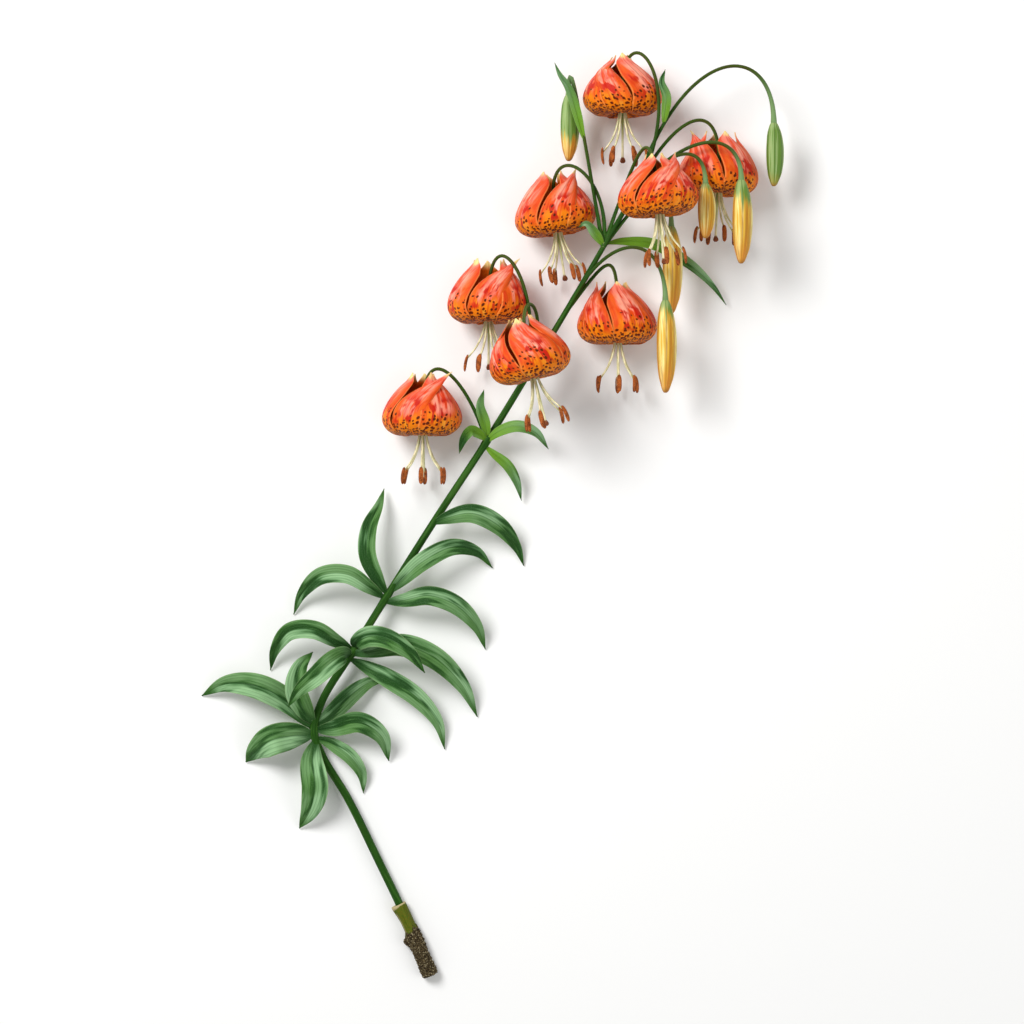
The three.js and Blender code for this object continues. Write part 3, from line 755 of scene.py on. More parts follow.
class Paint(Sheet):
    """A material's nodes."""

    def __init__(self, name):
        self.material = bpy.data.materials.new(name)
        self.material.use_nodes = True
        super().__init__(self.material.node_tree)
        self.shader = self.tree.nodes["Principled BSDF"]

    def values(self, *names):
        """Numbers that the mesh keeps under these names."""
        return [self.add("ShaderNodeAttribute", {"attribute_name": name}, output="Fac") for name in names]

    def skin(self, stretch=(1, 1, 1)):
        """Place on the unrolled skin. A small stretch draws a pattern out along that axis."""
        found = self.add("ShaderNodeAttribute", {"attribute_name": "skin"}, output="Vector")
        return self.vector("MULTIPLY", found, stretch)

    def object_place(self):
        """Place on the object, in metres."""
        return self.add("ShaderNodeTexCoord", output="Object")

    def noise(self, place, size, detail=3, roughness=0.55, output=0):
        inputs = {"Vector": place, "Scale": 1 / size, "Detail": detail, "Roughness": roughness}
        return self.add("ShaderNodeTexNoise", inputs=inputs, output=output)

    def skin_noise(self, size, stretch=(1, 1, 1), detail=3):
        """Noise over the skin of the piece."""
        return self.noise(self.skin(stretch), size, detail)

    def ramp(self, value, stops):
        return self.add("ShaderNodeValToRGB", {"stops": stops}, {0: value})

    def mix(self, factor, a, b):
        return self.add("ShaderNodeMix", {"data_type": "RGBA"}, {0: factor, 6: a, 7: b}, output=2)

    def coats(self, base, layers):
        """Lays colours over a base in turn. Each comes with the mask that says how densely it covers."""
        for mask, top in layers:
            base = self.mix(mask, base, top)
        return base

    def warp(self, place, size, reach):
        """A place that noise of the given size moves about."""
        noise = self.noise(place, size, detail=1, roughness=0.5, output="Color")
        shift = self.vector("SUBTRACT", noise, (0.5, 0.5, 0.5))
        return self.vector("MULTIPLY_ADD", shift, (reach, reach, reach), place)

    def spots(self, place, size, chance, smallest, largest):
        """1 in spots with soft rims, one in each cell of the given size where the chance allows it."""
        inputs = {"Vector": place, "Scale": 1 / size, "Randomness": 0.85}
        distance = self.add("ShaderNodeTexVoronoi", {"voronoi_dimensions": "2D"}, inputs)
        draw, spread, _ = self.parts(distance.other("Color"))
        radius = smallest + (largest - smallest) * spread
        inside = 1 - self.rise(distance, radius - 0.1, radius + 0.1)
        return inside * self.math("LESS_THAN", draw, chance)

    def finish(self, base, roughness, height=None, depth=0.0003, **constants):
        """Feeds the shader. The constants go on its own sockets."""
        self.feed(self.shader.inputs["Base Color"], base)
        self.feed(self.shader.inputs["Roughness"], roughness)
        if height is not None:
            normal = self.add("ShaderNodeBump", inputs={"Strength": 1, "Distance": depth, "Height": height})
            self.feed(self.shader.inputs["Normal"], normal)
        for name, value in constants.items():
            self.shader.inputs[name.replace("_", " ").title().replace("Ior", "IOR")].default_value = value
        return self.material


class Shaper(Sheet):
    """A geometry node tree with named inputs. Its first input and its output are geometry."""

    KINDS = {
        "Geometry": "NodeSocketGeometry", "float": "NodeSocketFloat", "int": "NodeSocketInt",
        "material": "NodeSocketMaterial", "object": "NodeSocketObject",
    }

    def __init__(self, name, **inputs):
        super().__init__(bpy.data.node_groups.new(name, "GeometryNodeTree"))
        self.tree.is_modifier = True
        sockets = self.tree.interface
        sockets.new_socket("Geometry", in_out="OUTPUT", socket_type=self.KINDS["Geometry"])
        sockets.new_socket("Geometry", in_out="INPUT", socket_type=self.KINDS["Geometry"])
        for label, kind in inputs.items():
            sockets.new_socket(label, in_out="INPUT", socket_type=self.KINDS[kind])
        entry = self.tree.nodes.new("NodeGroupInput")
        self.entry = {output.name: Wire(self, output) for output in entry.outputs if output.name}

    def attribute(self, name, kind="FLOAT"):
        return self.add("GeometryNodeInputNamedAttribute", {"data_type": kind}, {"Name": name})

    def keep(self, geometry, name, value, kind="FLOAT"):
        """Stores a value under a name on the points of a mesh."""
        inputs = {0: geometry, "Name": name, "Value": value}
        return self.add("GeometryNodeStoreNamedAttribute", {"data_type": kind}, inputs)

    def finish(self, geometry, material):
        real = self.add("GeometryNodeRealizeInstances", inputs={0: geometry})
        done = self.add("GeometryNodeSetMaterial", inputs={0: real, "Material": material})
        self.tree.links.new(done.socket, self.tree.nodes.new("NodeGroupOutput").inputs[0])
        return self.tree


def shape(tree, source, name, **values):
    """Runs a geometry node tree over a mesh and returns the result as a plain mesh."""
    holder = in_scene(name, source)
    modifier = holder.modifiers.new(tree.name, "NODES")
    modifier.node_group = tree
    for item in tree.interface.items_tree:
        if item.in_out == "INPUT" and item.name in values:
            modifier[item.identifier] = values[item.name]
    made = plain_mesh(holder)
    holder.modifiers.remove(modifier)
    bpy.data.objects.remove(holder)
    return made


def edge_mesh(name, lines, **values):
    """A mesh of loose polylines, with a value for each of their points."""
    mesh = bpy.data.meshes.new(name)
    edges = []
    count = 0
    for line in lines:
        edges += [(count + i, count + i + 1) for i in range(len(line) - 1)]
        count += len(line)
    mesh.from_pydata(np.vstack(lines).tolist(), edges, [])
    for label, parts in values.items():
        store(mesh, label, parts)
    return mesh


def stalk_shaper():
    """Sweeps a low-ribbed round section along each polyline of a mesh, as wide as its stalk_radius."""
    s = Shaper("Stalk", Sides="int", Ribs="int", Depth="float", Material="material")
    reach = s.add("GeometryNodeSplineParameter", output="Length")
    curve = s.add("GeometryNodeMeshToCurve", inputs={0: s.entry["Geometry"]})
    curve = s.add("GeometryNodeCaptureAttribute", {"captures": "FLOAT"}, {0: curve, 1: reach})
    section = s.add("GeometryNodeCurvePrimitiveCircle", inputs={0: s.entry["Sides"], "Radius": 1})
    position = s.add("GeometryNodeInputPosition")
    section = s.add("GeometryNodeCaptureAttribute", {"captures": "VECTOR"}, {0: section, 1: position})
    around = section.other(1)
    x, y, _ = s.parts(position)
    wave = s.math("COSINE", s.math("ARCTAN2", y, x) * s.entry["Ribs"])
    offset = s.scaled(position, wave * s.entry["Depth"])
    section = s.add("GeometryNodeSetPosition", inputs={0: section, "Offset": offset})
    radius = s.attribute("stalk_radius")
    tube = s.add(
        "GeometryNodeCurveToMesh", inputs={0: curve, 1: section, "Scale": radius, "Fill Caps": True},
    )
    x, y, _ = s.parts(s.scaled(around, radius))
    tube = s.keep(tube, "skin", s.combined(x, y, curve.other(1)), "FLOAT_VECTOR")
    return s.finish(tube, s.entry["Material"])


def bud_shaper():
    """Shapes a cylinder into a bud that hangs down from the origin."""
    s = Shaper(
        "Bud", Length="float", Width="float", Rib="float", Seam="float", Bend="float", Green="float",
        Sides="int", Rings="int", Material="material",
    )
    can = s.add(
        "GeometryNodeMeshCylinder", {"fill_type": "TRIANGLE_FAN"},
        {0: s.entry["Sides"], 1: s.entry["Rings"], "Radius": 1, "Depth": 1},
    )
    x, y, z = s.parts(s.add("GeometryNodeInputPosition"))
    along = 0.5 - z
    turn = s.math("ARCTAN2", y, x)
    profile = s.add("ShaderNodeFloatCurve", {"points": BUD_PROFILE}, {1: along})
    full = s.math("MINIMUM", 1, along * 3)
    ribs = s.math("COSINE", turn * 3)
    seams = s.math("POWER", abs(s.math("SINE", turn * 3)), 14)
    swell = 1 + s.entry["Rib"] * ribs * full - s.entry["Seam"] * seams * full
    radius = profile * swell * s.entry["Width"] / 2
    bow = s.entry["Bend"] * s.math("SINE", along * math.pi)
    long = along * s.entry["Length"]
    place = s.combined(x * radius + bow, y * radius, -long)
    skin = s.combined(x * s.entry["Width"] / 2, y * s.entry["Width"] / 2, long)
    can = s.keep(can, "skin", skin, "FLOAT_VECTOR")
    for name, value in {"rib": ribs, "seam": seams, "green": s.entry["Green"], "along": along}.items():
        can = s.keep(can, name, value)
    can = s.add("GeometryNodeSetPosition", inputs={0: can, "Position": place})
    return s.finish(can, s.entry["Material"])


def grain_shaper():
    """Strews small stones over a mesh where its zone is above zero, and keeps the mesh."""
    s = Shaper("Grains", Size="float", Number="float", Seed="int", Material="material")
    base, seed = s.entry["Geometry"], s.entry["Seed"]
    points = s.add(
        "GeometryNodeDistributePointsOnFaces", {"distribute_method": "RANDOM"},
        {0: base, "Density": s.entry["Number"] * s.attribute("zone"), "Seed": seed},
    )
    stone = s.add("GeometryNodeMeshIcoSphere", inputs={0: s.entry["Size"] / 2, 1: 2})
    draw = {"data_type": "FLOAT_VECTOR"}
    scale = s.add("FunctionNodeRandomValue", draw, {0: (0.5, 0.6, 0.45), 1: (1.2, 1.1, 0.9), "Seed": seed})
    turn = s.add("FunctionNodeRandomValue", draw, {0: (0, 0, 0), 1: (6.3, 6.3, 6.3), "Seed": seed + 1})
    turn = s.add("FunctionNodeEulerToRotation", inputs={0: turn})
    placed = {0: points, "Instance": stone, "Rotation": turn, "Scale": scale}
    stones = s.add("GeometryNodeInstanceOnPoints", inputs=placed)
    stones = s.add("GeometryNodeRealizeInstances", inputs={0: stones})
    island = s.add("GeometryNodeInputMeshIsland")
    shades = {2: 0.2, 3: 1, "ID": island, "Seed": seed + 2}
    shade = s.add("FunctionNodeRandomValue", {"data_type": "FLOAT"}, shades, 1)
    join = s.add("GeometryNodeJoinGeometry", inputs={0: s.keep(stones, "grain", shade)})
    s.feed(join.socket.node.inputs[0], base)
    return s.finish(join, s.entry["Material"])


def ring_shaper():
    """Hangs a copy of an anther on each point of a mesh, turned as its tilt says."""
    s = Shaper("Anther ring", Anther="object", Material="material")
    anther = s.add("GeometryNodeObjectInfo", inputs={0: s.entry["Anther"]}, output="Geometry")
    turn = s.add("FunctionNodeEulerToRotation", inputs={0: s.attribute("tilt", "FLOAT_VECTOR")})
    placed = {0: s.entry["Geometry"], "Instance": anther, "Rotation": turn}
    return s.finish(s.add("GeometryNodeInstanceOnPoints", inputs=placed), s.entry["Material"])


# Materials


def tepal_material(look):
    """Gold at the mouth and coral where it is turned back, with maroon spots, over a plainer back."""
    p = Paint("Tepal")
    along, across, front = p.values("along", "across", "front")
    side = abs(across)
    streak = p.skin_noise(0.0011, (1, 0.1, 1))
    fold = p.skin_noise(0.0045, (1, 0.14, 1), detail=2)
    blotch = p.skin_noise(0.009, (1, 0.45, 1), detail=2)
    patch = p.skin_noise(0.0075, (1, 0.6, 1), detail=1)
    fleck = p.skin_noise(0.0016, detail=2)
    place = along + 0.14 * (blotch - 0.5) + 0.10 * (streak - 0.5) + 0.10 * (fold - 0.5) - 0.04 * side * side
    face = p.ramp(place, [
        (0, (0.20, 0.11, 0.010)), (0.16, (0.72, 0.19, 0.005)), (0.30, look.gold), (0.50, look.gold),
        (0.58, look.flame), (0.67, look.coral), (0.86, look.coral), (0.925, look.blush_and_sheen),
        (0.965, look.cream),
    ])
    glow = p.rise(blotch, 0.52, 0.66) * p.band(along, 0.34, 0.48, 0.07)
    # Painted highlight: sheen is pale pink painted in streaks on the middle of the turned-back half, where
    # light would catch it.
    sheen = p.band(along, 0.58, 0.87, 0.08) * p.rise(side, 0.95, 0.2)
    sheen = sheen * p.rise(0.5 * streak + fold, 0.66, 0.84)
    # Painted highlight: shine is a paler pink highlight in patches on the middle of the turned-back half.
    shine = p.band(along, 0.61, 0.80, 0.08) * p.rise(side, 0.85, 0.3) * p.rise(fold + blotch, 0.93, 1.12)
    red = p.rise(patch + 0.5 * (fold - 0.5) + 0.3 * (streak - 0.5), 0.49, 0.60)
    red = red * p.band(along, 0.50, 0.66, 0.08)
    gilt = p.rise(side + 1.2 * (blotch - 0.5), 0.40, 0.80) * p.band(along, 0.46, 0.80, 0.08)
    shade = p.rise(side + 0.8 * (fold - 0.5), 0.66, 0.98) * p.band(along, 0.52, 0.90, 0.08)
    rib = p.band(side, 0.15, 0.19, 0.05) * p.band(along, 0.45, 0.92, 0.08)
    face = p.coats(face, [
        (glow * 0.6, (0.92, 0.40, 0.04)),
        # Painted highlights: the sheen and the shine.
        (sheen * 0.9, look.blush_and_sheen),
        (shine * 0.8, (0.96, 0.38, 0.26)),
        (red * 0.95, look.scarlet),
        (gilt * 0.65, (0.80, 0.13, 0.008)),
        (shade * 0.7, (0.62, 0.028, 0.006)),
        (rib * 0.4, look.scarlet),
    ])
    skin = p.warp(p.skin(), 0.0022, 0.0016)
    throat = p.rise(along, 0.38, 0.24)
    large = p.spots(skin, look.spot, p.rise(along, 0.66, 0.38) * 1.1 - 0.35 * throat, 0.17, 0.36)
    small = p.spots(skin, look.spot * 0.55, p.rise(along, 0.46, 0.33) * 0.9 - 0.55 * throat, 0.2, 0.5)
    dots = p.math("MAXIMUM", large, small * p.rise(along, 0.02, 0.1)) * p.rise(side, 1.0, 0.9)
    rim = p.band(along, 0.24, 0.315, 0.09)
    # Painted shadow: dark rust along the edges of each tepal near the mouth, where the next tepal would
    # shade it.
    painted_seam_shadow = p.rise(side, 0.80, 0.96) * p.rise(along, 0.45, 0.34)
    edge = p.rise(side, 0.90, 0.98) * (1 - 0.6 * rim)
    furrow = p.rise(side, 0.13, 0.05) * p.rise(along, 0.36, 0.20)
    face = p.coats(face, [
        (rim * (0.2 + 0.5 * fleck), look.rust),
        (painted_seam_shadow * 0.6, look.rust),
        (edge * 0.45, (0.92, 0.34, 0.08)),
        (p.rise(dots, 0.02, 0.5) * 0.75, look.rust),
        (p.rise(dots, 0.35, 0.75) * 0.96, look.maroon),
        (furrow * 0.75, (0.13, 0.15, 0.012)),
    ])
    base = p.coats(look.back, [
        (p.rise(along, 0.30, 0.02), (0.13, 0.17, 0.025)),
        (p.rise(streak, 0.45, 0.7) * 0.4, (0.50, 0.06, 0.004)),
        (p.rise(along, 0.9, 0.98), look.cream),
        (front, face),
    ])
    height = streak * 0.6 + fold * 0.6 + 0.25 * fleck + 0.5 * dots
    return p.finish(base, 0.46 + 0.18 * streak - 0.08 * dots, height, 0.0006, subsurface_weight=0.1,
                    subsurface_scale=0.0015, specular_ior_level=0.12)


def filament_material(look):
    """Cream with olive streaks, green at the base and rusty at the tip."""
    p = Paint("Filament")
    [along] = p.values("along")
    streak = p.skin_noise(0.0012, (1, 1, 0.12))
    base = p.coats(look.cream, [
        (p.rise(along, 0.5, 0.05) * 0.7, look.green),
        (p.rise(streak, 0.47, 0.58) * 0.8, look.olive),
        (p.rise(along, 0.93, 1), (0.55, 0.30, 0.12)),
    ])
    return p.finish(base, 0.42 + 0.1 * streak, streak, subsurface_weight=0.1, subsurface_scale=0.001,
                    specular_ior_level=0.3)


def anther_material(look):
    """Rusty pollen in light and dark grains."""
    p = Paint("Anther")
    place = p.object_place()
    grain = p.noise(place, 0.0006, detail=2)
    patch = p.noise(place, 0.004, detail=2)
    base = p.coats(look.rust, [
        (p.rise(patch, 0.42, 0.62), (0.15, 0.030, 0.006)),
        (p.rise(grain, 0.5, 0.66) * 0.7, (0.62, 0.20, 0.045)),
        (p.rise(grain, 0.46, 0.36) * 0.6, (0.10, 0.020, 0.005)),
    ])
    return p.finish(base, 0.75 + 0.2 * grain, grain + patch, 0.0005, specular_ior_level=0.2)


def pistil_material(look):
    """A green ovary, a style that pales upwards and a dark stigma."""
    p = Paint("Pistil")
    [along] = p.values("along")
    streak = p.skin_noise(0.001, (1, 1, 0.12))
    grain = p.skin_noise(0.0005, detail=2)
    tip = p.rise(along, 0.90, 0.93)
    stigma = p.mix(p.rise(grain, 0.45, 0.6), (0.26, 0.07, 0.02), (0.09, 0.022, 0.008))
    base = p.coats(look.green, [
        (p.rise(along, 0.3, 0.9), look.cream),
        (p.rise(streak, 0.45, 0.7) * 0.4, (0.22, 0.26, 0.05)),
        (tip, stigma),
    ])
    return p.finish(base, 0.45 + 0.3 * tip, streak + tip * grain, specular_ior_level=0.3)


def bud_material(look):
    """Gold with pale ribs and amber seams, or as green as the bud is young, under a pale green cap."""
    p = Paint("Bud")
    along, rib, seam, green = p.values("along", "rib", "seam", "green")
    streak = p.skin_noise(0.0013, (1, 1, 0.05))
    band = p.skin_noise(0.0026, (1, 1, 0.05), detail=1)
    blotch = p.skin_noise(0.008, (1, 1, 0.4), detail=2)
    rise = 0.6 * rib + 2.6 * (band - 0.5) + 1.0 * (streak - 0.5)
    ripe = p.coats(look.gold, [
        (p.rise(rise, 0.05, 0.60), look.pale),
        (p.rise(rise, 0, -0.8) * 0.8, look.amber),
        (p.rise(along + 0.3 * (blotch - 0.5), 0.6, 1.0) * 0.6, (0.72, 0.24, 0.03)),
        (p.rise(streak, 0.56, 0.66) * 0.6, (0.36, 0.13, 0.015)),
    ])
    young = p.coats(look.green, [
        (p.rise(rise, -0.1, 0.6), look.glaucous),
        (p.rise(along, 0.75, 1.0) * 0.5, (0.52, 0.36, 0.05)),
    ])
    youth = p.rise(green * 1.25 - along + 0.25 * (blotch - 0.5) + 0.5 * (band - 0.5), -0.05, 0.12)
    cap = p.rise(along + 0.25 * (band - 0.5), 0.14, 0.02)
    base = p.coats(ripe, [
        (youth, young),
        (cap * 0.9, look.glaucous),
        (p.rise(seam, 0.2, 0.9) * 0.6, p.mix(youth, look.amber, (0.05, 0.12, 0.01))),
        (p.rise(along, 0.93, 1.0) * 0.7, (0.40, 0.16, 0.025)),
    ])
    height = streak * 0.8 + 0.6 * band + 0.4 * blotch
    return p.finish(base, 0.42 + 0.2 * streak, height, 0.0006, subsurface_weight=0.08,
                    subsurface_scale=0.002, specular_ior_level=0.2)


def leaf_material(look, bract):
    """Green with a pale painted highlight sheen, painted shade in the folds and over one half, and dark
    veins.
    """
    p = Paint("Bract" if bract else "Leaf")
    along, across, front = p.values("along", "across", "front")
    side = abs(across)
    streak = p.skin_noise(0.0011, (1, 0.06, 1))
    band = p.skin_noise(0.0045, (1, 0.10, 1), detail=2)
    blotch = p.skin_noise(0.012, (1, 0.2, 1), detail=2)
    kind = p.skin_noise(0.05, detail=1)
    grain = p.skin_noise(0.0006, detail=2)
    veins = p.math("COSINE", across * 24) * 0.5 + 0.5
    ragged = along + 0.3 * (band - 0.5)
    # Painted highlight: light says where the pale sheen is painted, in patches along the middle of the
    # leaf.
    light = p.rise(blotch + 0.6 * (band - 0.5) + 0.2 * (streak - 0.5), 0.38, 0.62)
    light = light * p.band(along, 0.16, 0.84, 0.16)
    # Painted shade: half darkens one half of each leaf beside the middle, as if it faced away from the
    # light.
    half = p.rise(across, -0.04, 0.04) * p.band(along, 0.10, 0.92, 0.08)
    dark = p.rise(blotch + 0.7 * (band - 0.5), 0.51, 0.36)
    face = p.coats(look.upper, [
        (light * 0.9, look.sheen),
        (p.rise(kind, 0.50, 0.62) * 0.45, look.grass_and_half_shade),
        (half * (0.3 + 0.4 * blotch), look.grass_and_half_shade),
        (dark * 0.85, look.deep),
        (p.rise(veins, 0.7, 1) * 0.3, look.deep),
        # Painted shade in the fold along the middle.
        (p.rise(side, 0.10, 0.02) * 0.35, look.deep),
        (p.rise(ragged, 0.30, 0.03) * 0.8, look.lime if bract else look.deep),
        (p.rise(ragged, 0.84, 1.0) * 0.75, (0.030, 0.125, 0.006)),
    ])
    back = p.coats(look.under, [
        (p.rise(blotch, 0.4, 0.65) * 0.5, (0.13, 0.27, 0.045)),
        (p.rise(side, 0.12, 0.03) * 0.6, (0.20, 0.32, 0.07)),
    ])
    if bract:
        face = p.mix(p.rise(along, 0.75, 0.25) * 0.75, face, look.lime)
        back = p.mix(0.5, back, look.lime)
    base = p.coats(back, [
        (front, face),
        # Fine painted glints of the sheen.
        (p.rise(grain, 0.52, 0.7) * 0.2, look.sheen),
        (p.rise(side, 0.94, 0.99) * 0.6, look.edge),
    ])
    height = veins * 0.4 + band * 0.8 + streak * 0.4 + grain * 0.2
    return p.finish(base, 0.46 + 0.2 * grain - 0.06 * veins, height, 0.0005, specular_ior_level=0.10)


def stem_material(look):
    """Dark green with pale streaks, olive along the arches, and a pale pith at the cut."""
    p = Paint("Stem")
    stalk, pale, along = p.values("stalk", "pale", "along")
    streak = p.skin_noise(0.0014, (1, 1, 0.05))
    band = p.skin_noise(0.0040, (1, 1, 0.04), detail=1)
    blotch = p.skin_noise(0.010, (1, 1, 0.25), detail=2)
    grain = p.skin_noise(0.0007, detail=2)
    ripe = stalk * p.rise(along, 0.15, 0.75) * (1 - pale)
    arch = p.coats(look.olive, [
        (p.rise(streak, 0.4, 0.6), (0.062, 0.058, 0.008)),
        (p.rise(band + 0.4 * (streak - 0.5), 0.50, 0.64) * 0.8, (0.17, 0.25, 0.075)),
    ])
    cut = p.rise(along, 0.0012, 0.0004) * (1 - stalk)
    base = p.coats(look.green, [
        (p.rise(0.6 * streak + 0.6 * band + 0.3 * blotch, 0.70, 0.90) * 0.85, look.light),
        (ripe * 0.85, arch),
        (p.rise(pale + 0.5 * (streak - 0.5), 0.1, 0.9), look.glaucous),
        (p.rise(blotch, 0.58, 0.72) * 0.3, (0.055, 0.045, 0.010)),
        (p.rise(grain, 0.6, 0.72) * 0.25, (0.16, 0.28, 0.08)),
        (cut, p.mix(p.rise(grain, 0.45, 0.6), (0.38, 0.42, 0.18), (0.15, 0.20, 0.06))),
    ])
    return p.finish(base, 0.45 + 0.2 * grain, streak + 0.3 * grain, 0.0004, specular_ior_level=0.10)


def foot_material(look):
    """A dull green sheath with a dry rim, under dark soil with pale grains."""
    p = Paint("Foot")
    crust, rim, shade = p.values("crust", "rim", "grain")
    place = p.object_place()
    streak = p.skin_noise(0.0016, (1, 1, 0.08))
    lumps = p.noise(place, 0.0018, detail=4, roughness=0.65)
    fine = p.noise(place, 0.0007)
    sheath = p.coats(look.sheath, [
        (p.rise(streak, 0.4, 0.65), (0.092, 0.125, 0.006)),
        (p.rise(fine, 0.58, 0.64) * 0.8, (0.30, 0.12, 0.012)),
        (p.rise(rim + 0.5 * (streak - 0.5), 0.55, 0.9), look.rim),
    ])
    stone = p.coats((0.018, 0.011, 0.005), [
        (p.rise(shade, 0.45, 0.55), (0.085, 0.060, 0.028)),
        (p.rise(shade, 0.70, 0.98), (0.44, 0.37, 0.22)),
    ])
    loose = p.rise(shade, 0.1, 0.2)
    soil = p.coats(look.soil, [
        (p.rise(lumps, 0.44, 0.60), (0.082, 0.056, 0.026)),
        (p.rise(fine, 0.52, 0.64) * 0.75, look.tan),
        (loose * 0.9, stone),
    ])
    dirty = p.math("MAXIMUM", p.rise(crust + 0.35 * (lumps - 0.5), 0.35, 0.6), loose)
    height = p.mix(dirty, streak, lumps * 1.6 + fine * 0.7)
    base = p.mix(dirty, sheath, soil)
    return p.finish(base, 0.55 + 0.4 * dirty, height, 0.0009, specular_ior_level=0.12)


def floor_material(look):
    """Pale, with faint wide clouds."""
    p = Paint("Floor")
    cloud = p.noise(p.object_place(), 0.4, detail=2)
    base = p.mix(cloud * 0.2, look.floor, [value * 0.985 for value in look.floor])
    return p.finish(base, 0.8 + 0.1 * cloud)


# Pieces


def blade_thickness(look, side, swell):
    """Thick along the middle of a tepal or leaf, and thin along its margins."""
    return look.margin + (look.thickness - look.margin) * (1 - side**2) * swell


def tepal_line(look, curl, shares):
    """Radius and height of a tepal's middle line in its bloom, at shares of its length."""
    step = mm(1)
    marks = np.arange(0, look.length + step / 2, step)
    headings = np.radians(np.interp((marks[:-1] + step / 2) / look.length, HEADING_SHARES, HEADINGS) * curl)
    moves = step * np.stack([np.sin(headings), -np.cos(headings)], axis=1)
    line = np.vstack([TEPAL_ROOT, TEPAL_ROOT + np.cumsum(moves, axis=0)])
    return [np.interp(shares * look.length, marks, column) for column in line.T]


def tepal_half_width(look, outer, shares, radius):
    """Half the width of a tepal as an angle round the axis of the bloom."""
    width, room = (look.outer_width, look.outer_room) if outer else (look.inner_width, look.inner_room)
    mouth = MOUTH_ROOM[0] if outer else MOUTH_ROOM[1]
    room = np.interp(shares, [0.3, 0.5], [math.radians(mouth), room])
    blade = np.sin(np.pi * np.minimum(0.14 + 0.86 * shares, 0.9999)) ** TEPAL_FULLNESS
    blade = blade * np.interp(shares, [0.82, 0.92, 1], [1, 0.7, 0.2])
    return np.minimum(np.maximum(width / 2 * blade, TIP_WIDTH / 2) / radius, room)


def tepal_relief(look, shares, side, outer, lead, seed):
    """Height of a tepal's groove, ridges, waves, rolled edges and lap over its smooth form."""
    full = np.sin(math.pi * shares) ** 0.5
    groove = look.groove * (0.5 * bump(abs(side) - 0.24, 0.12) - bump(side, 0.1)) * full
    turn = 2 * math.pi * TEPAL_WAVES * shares + 3 * jitter(seed + 9) + 1.4 * side
    wave = look.wave * full * abs(side) ** 3 * np.sin(turn)
    rolled = look.roll * side**4 * np.interp(shares, [0.5, 0.7, 0.9, 1], [0, 1, 1, 0])
    cupped = mm(0.35) * np.interp(shares, [0, 0.1, 0.3, 0.4], [0, 1, 1, 0]) * side**2
    lap = (-0.5 if outer else 0.5) * np.interp(shares, [0.28, 0.42], [0.4, 1])
    if lead:
        lap = np.interp(shares, [0.28, 0.42, 0.55, 0.7], [-0.2, -0.5, -0.5, 1])
    return groove + wave - rolled + cupped + lap * look.lap


def clear_of_stalk(points, place):
    """Moves what would touch the stalk of the bloom aside."""
    stalk = place.stalk().points - ORIGIN
    away = points[..., None, :] - stalk
    distance = np.linalg.norm(away, axis=-1)
    nearest = distance.argmin(-1)[..., None]
    away = np.take_along_axis(away, nearest[..., None], -2)[..., 0, :]
    distance = np.take_along_axis(distance, nearest, -1)
    return points + away * ((distance**6 + STALK_CLEARANCE**6) ** (1 / 6) / distance - 1)


def add_tepal(shell, look, place, curl, swirl, index, seed):
    """Adds a tepal, curled and swirled by its share for how far behind the lead tepal it follows."""
    outer = index % 2 == 0
    behind = (LEAD_TEPAL - index) * int(math.copysign(1, swirl)) % 6
    lead = behind == 0
    if lead:
        curl = curl * LEAD_CURL
    shares = np.linspace(0, 1, look.rows + 1)
    side = np.linspace(1, -1, look.columns + 1)[None, :]
    radius, height = tepal_line(look, curl * (1 + CURL_SPREAD * jitter(seed)), shares)
    half = tepal_half_width(look, outer, shares, radius)
    if lead:
        half = half * np.interp(shares, *LEAD_TAPER)
    swirl = swirl * SWIRL_SHARES[behind] + SWIRL_SPREAD * jitter(seed + 5)
    middle = np.radians(60 * index + swirl * shares**3)
    grid = place.points(middle[:, None] + side * half[:, None], radius[:, None], height[:, None])
    if lead:
        sweep = math.copysign(LEAD_SWEEP, swirl) * np.interp(shares, [0.58, 1], [0, 1]) ** 1.8
        grid = grid + place.outward(middle[-1] + math.pi / 2) * sweep[:, None, None]
    blade = shares > 0.5
    shares = shares[:, None]
    grid = grid + grid_normals(grid) * tepal_relief(look, shares, side, outer, lead, seed)[..., None]
    grid[blade] = clear_of_stalk(grid[blade], place)
    grid[..., 2] = softly_above(grid[..., 2], look.thickness / 2)
    thick = blade_thickness(look, side, np.interp(shares, [0, 0.9, 1], [1, 1, 1.3]))
    along, across = np.broadcast_arrays(shares, -side)
    add_sheet(shell, grid, thick, along, across, TEPAL_SHIFT * seed)


def add_receptacle(shell, place):
    """Adds the green seat where stalk, tepals and ovary meet."""
    heights, radii = mm([(0.2, 1.9), (-0.6, 3.2), (-1.4, 4.4), (-2.4, 4.9), (-3, 4.2)]).T[..., None]
    angles = circle(24)
    rings = place.points(angles[:, ::-1], radii, heights)
    points, faces = closed_loft(rings)
    flat = np.zeros(rings.shape[:2])
    skin = with_ends(np.stack([*np.broadcast_arrays(angles * mm(4), heights), flat], axis=-1))
    flat = with_ends(flat)
    shell.add(points, faces, along=flat, across=flat, front=flat, skin=skin)


class LILY_OT_tepals(bpy.types.Operator):
    """Build the six turned-back, spotted tepals of each bloom"""

    bl_idname = "lily.tepals"
    bl_label = "Tepals"

    def execute(self, context):
        look = context.scene.lily_tepals
        material = tepal_material(look)
        for number, (place, (*_, curl, swirl)) in enumerate(zip(BLOOM_PLACES, BLOOMS), 1):
            shell = Shell()
            add_receptacle(shell, place)
            for index in range(6):
                add_tepal(shell, look, place, curl, swirl, index, 10 * number + index)
            name = f"bloom_{number}_perianth"
            new_piece(name, shell.mesh(name), material, f"bloom_{number}_tepals", "tepal_orange")
        return {"FINISHED"}


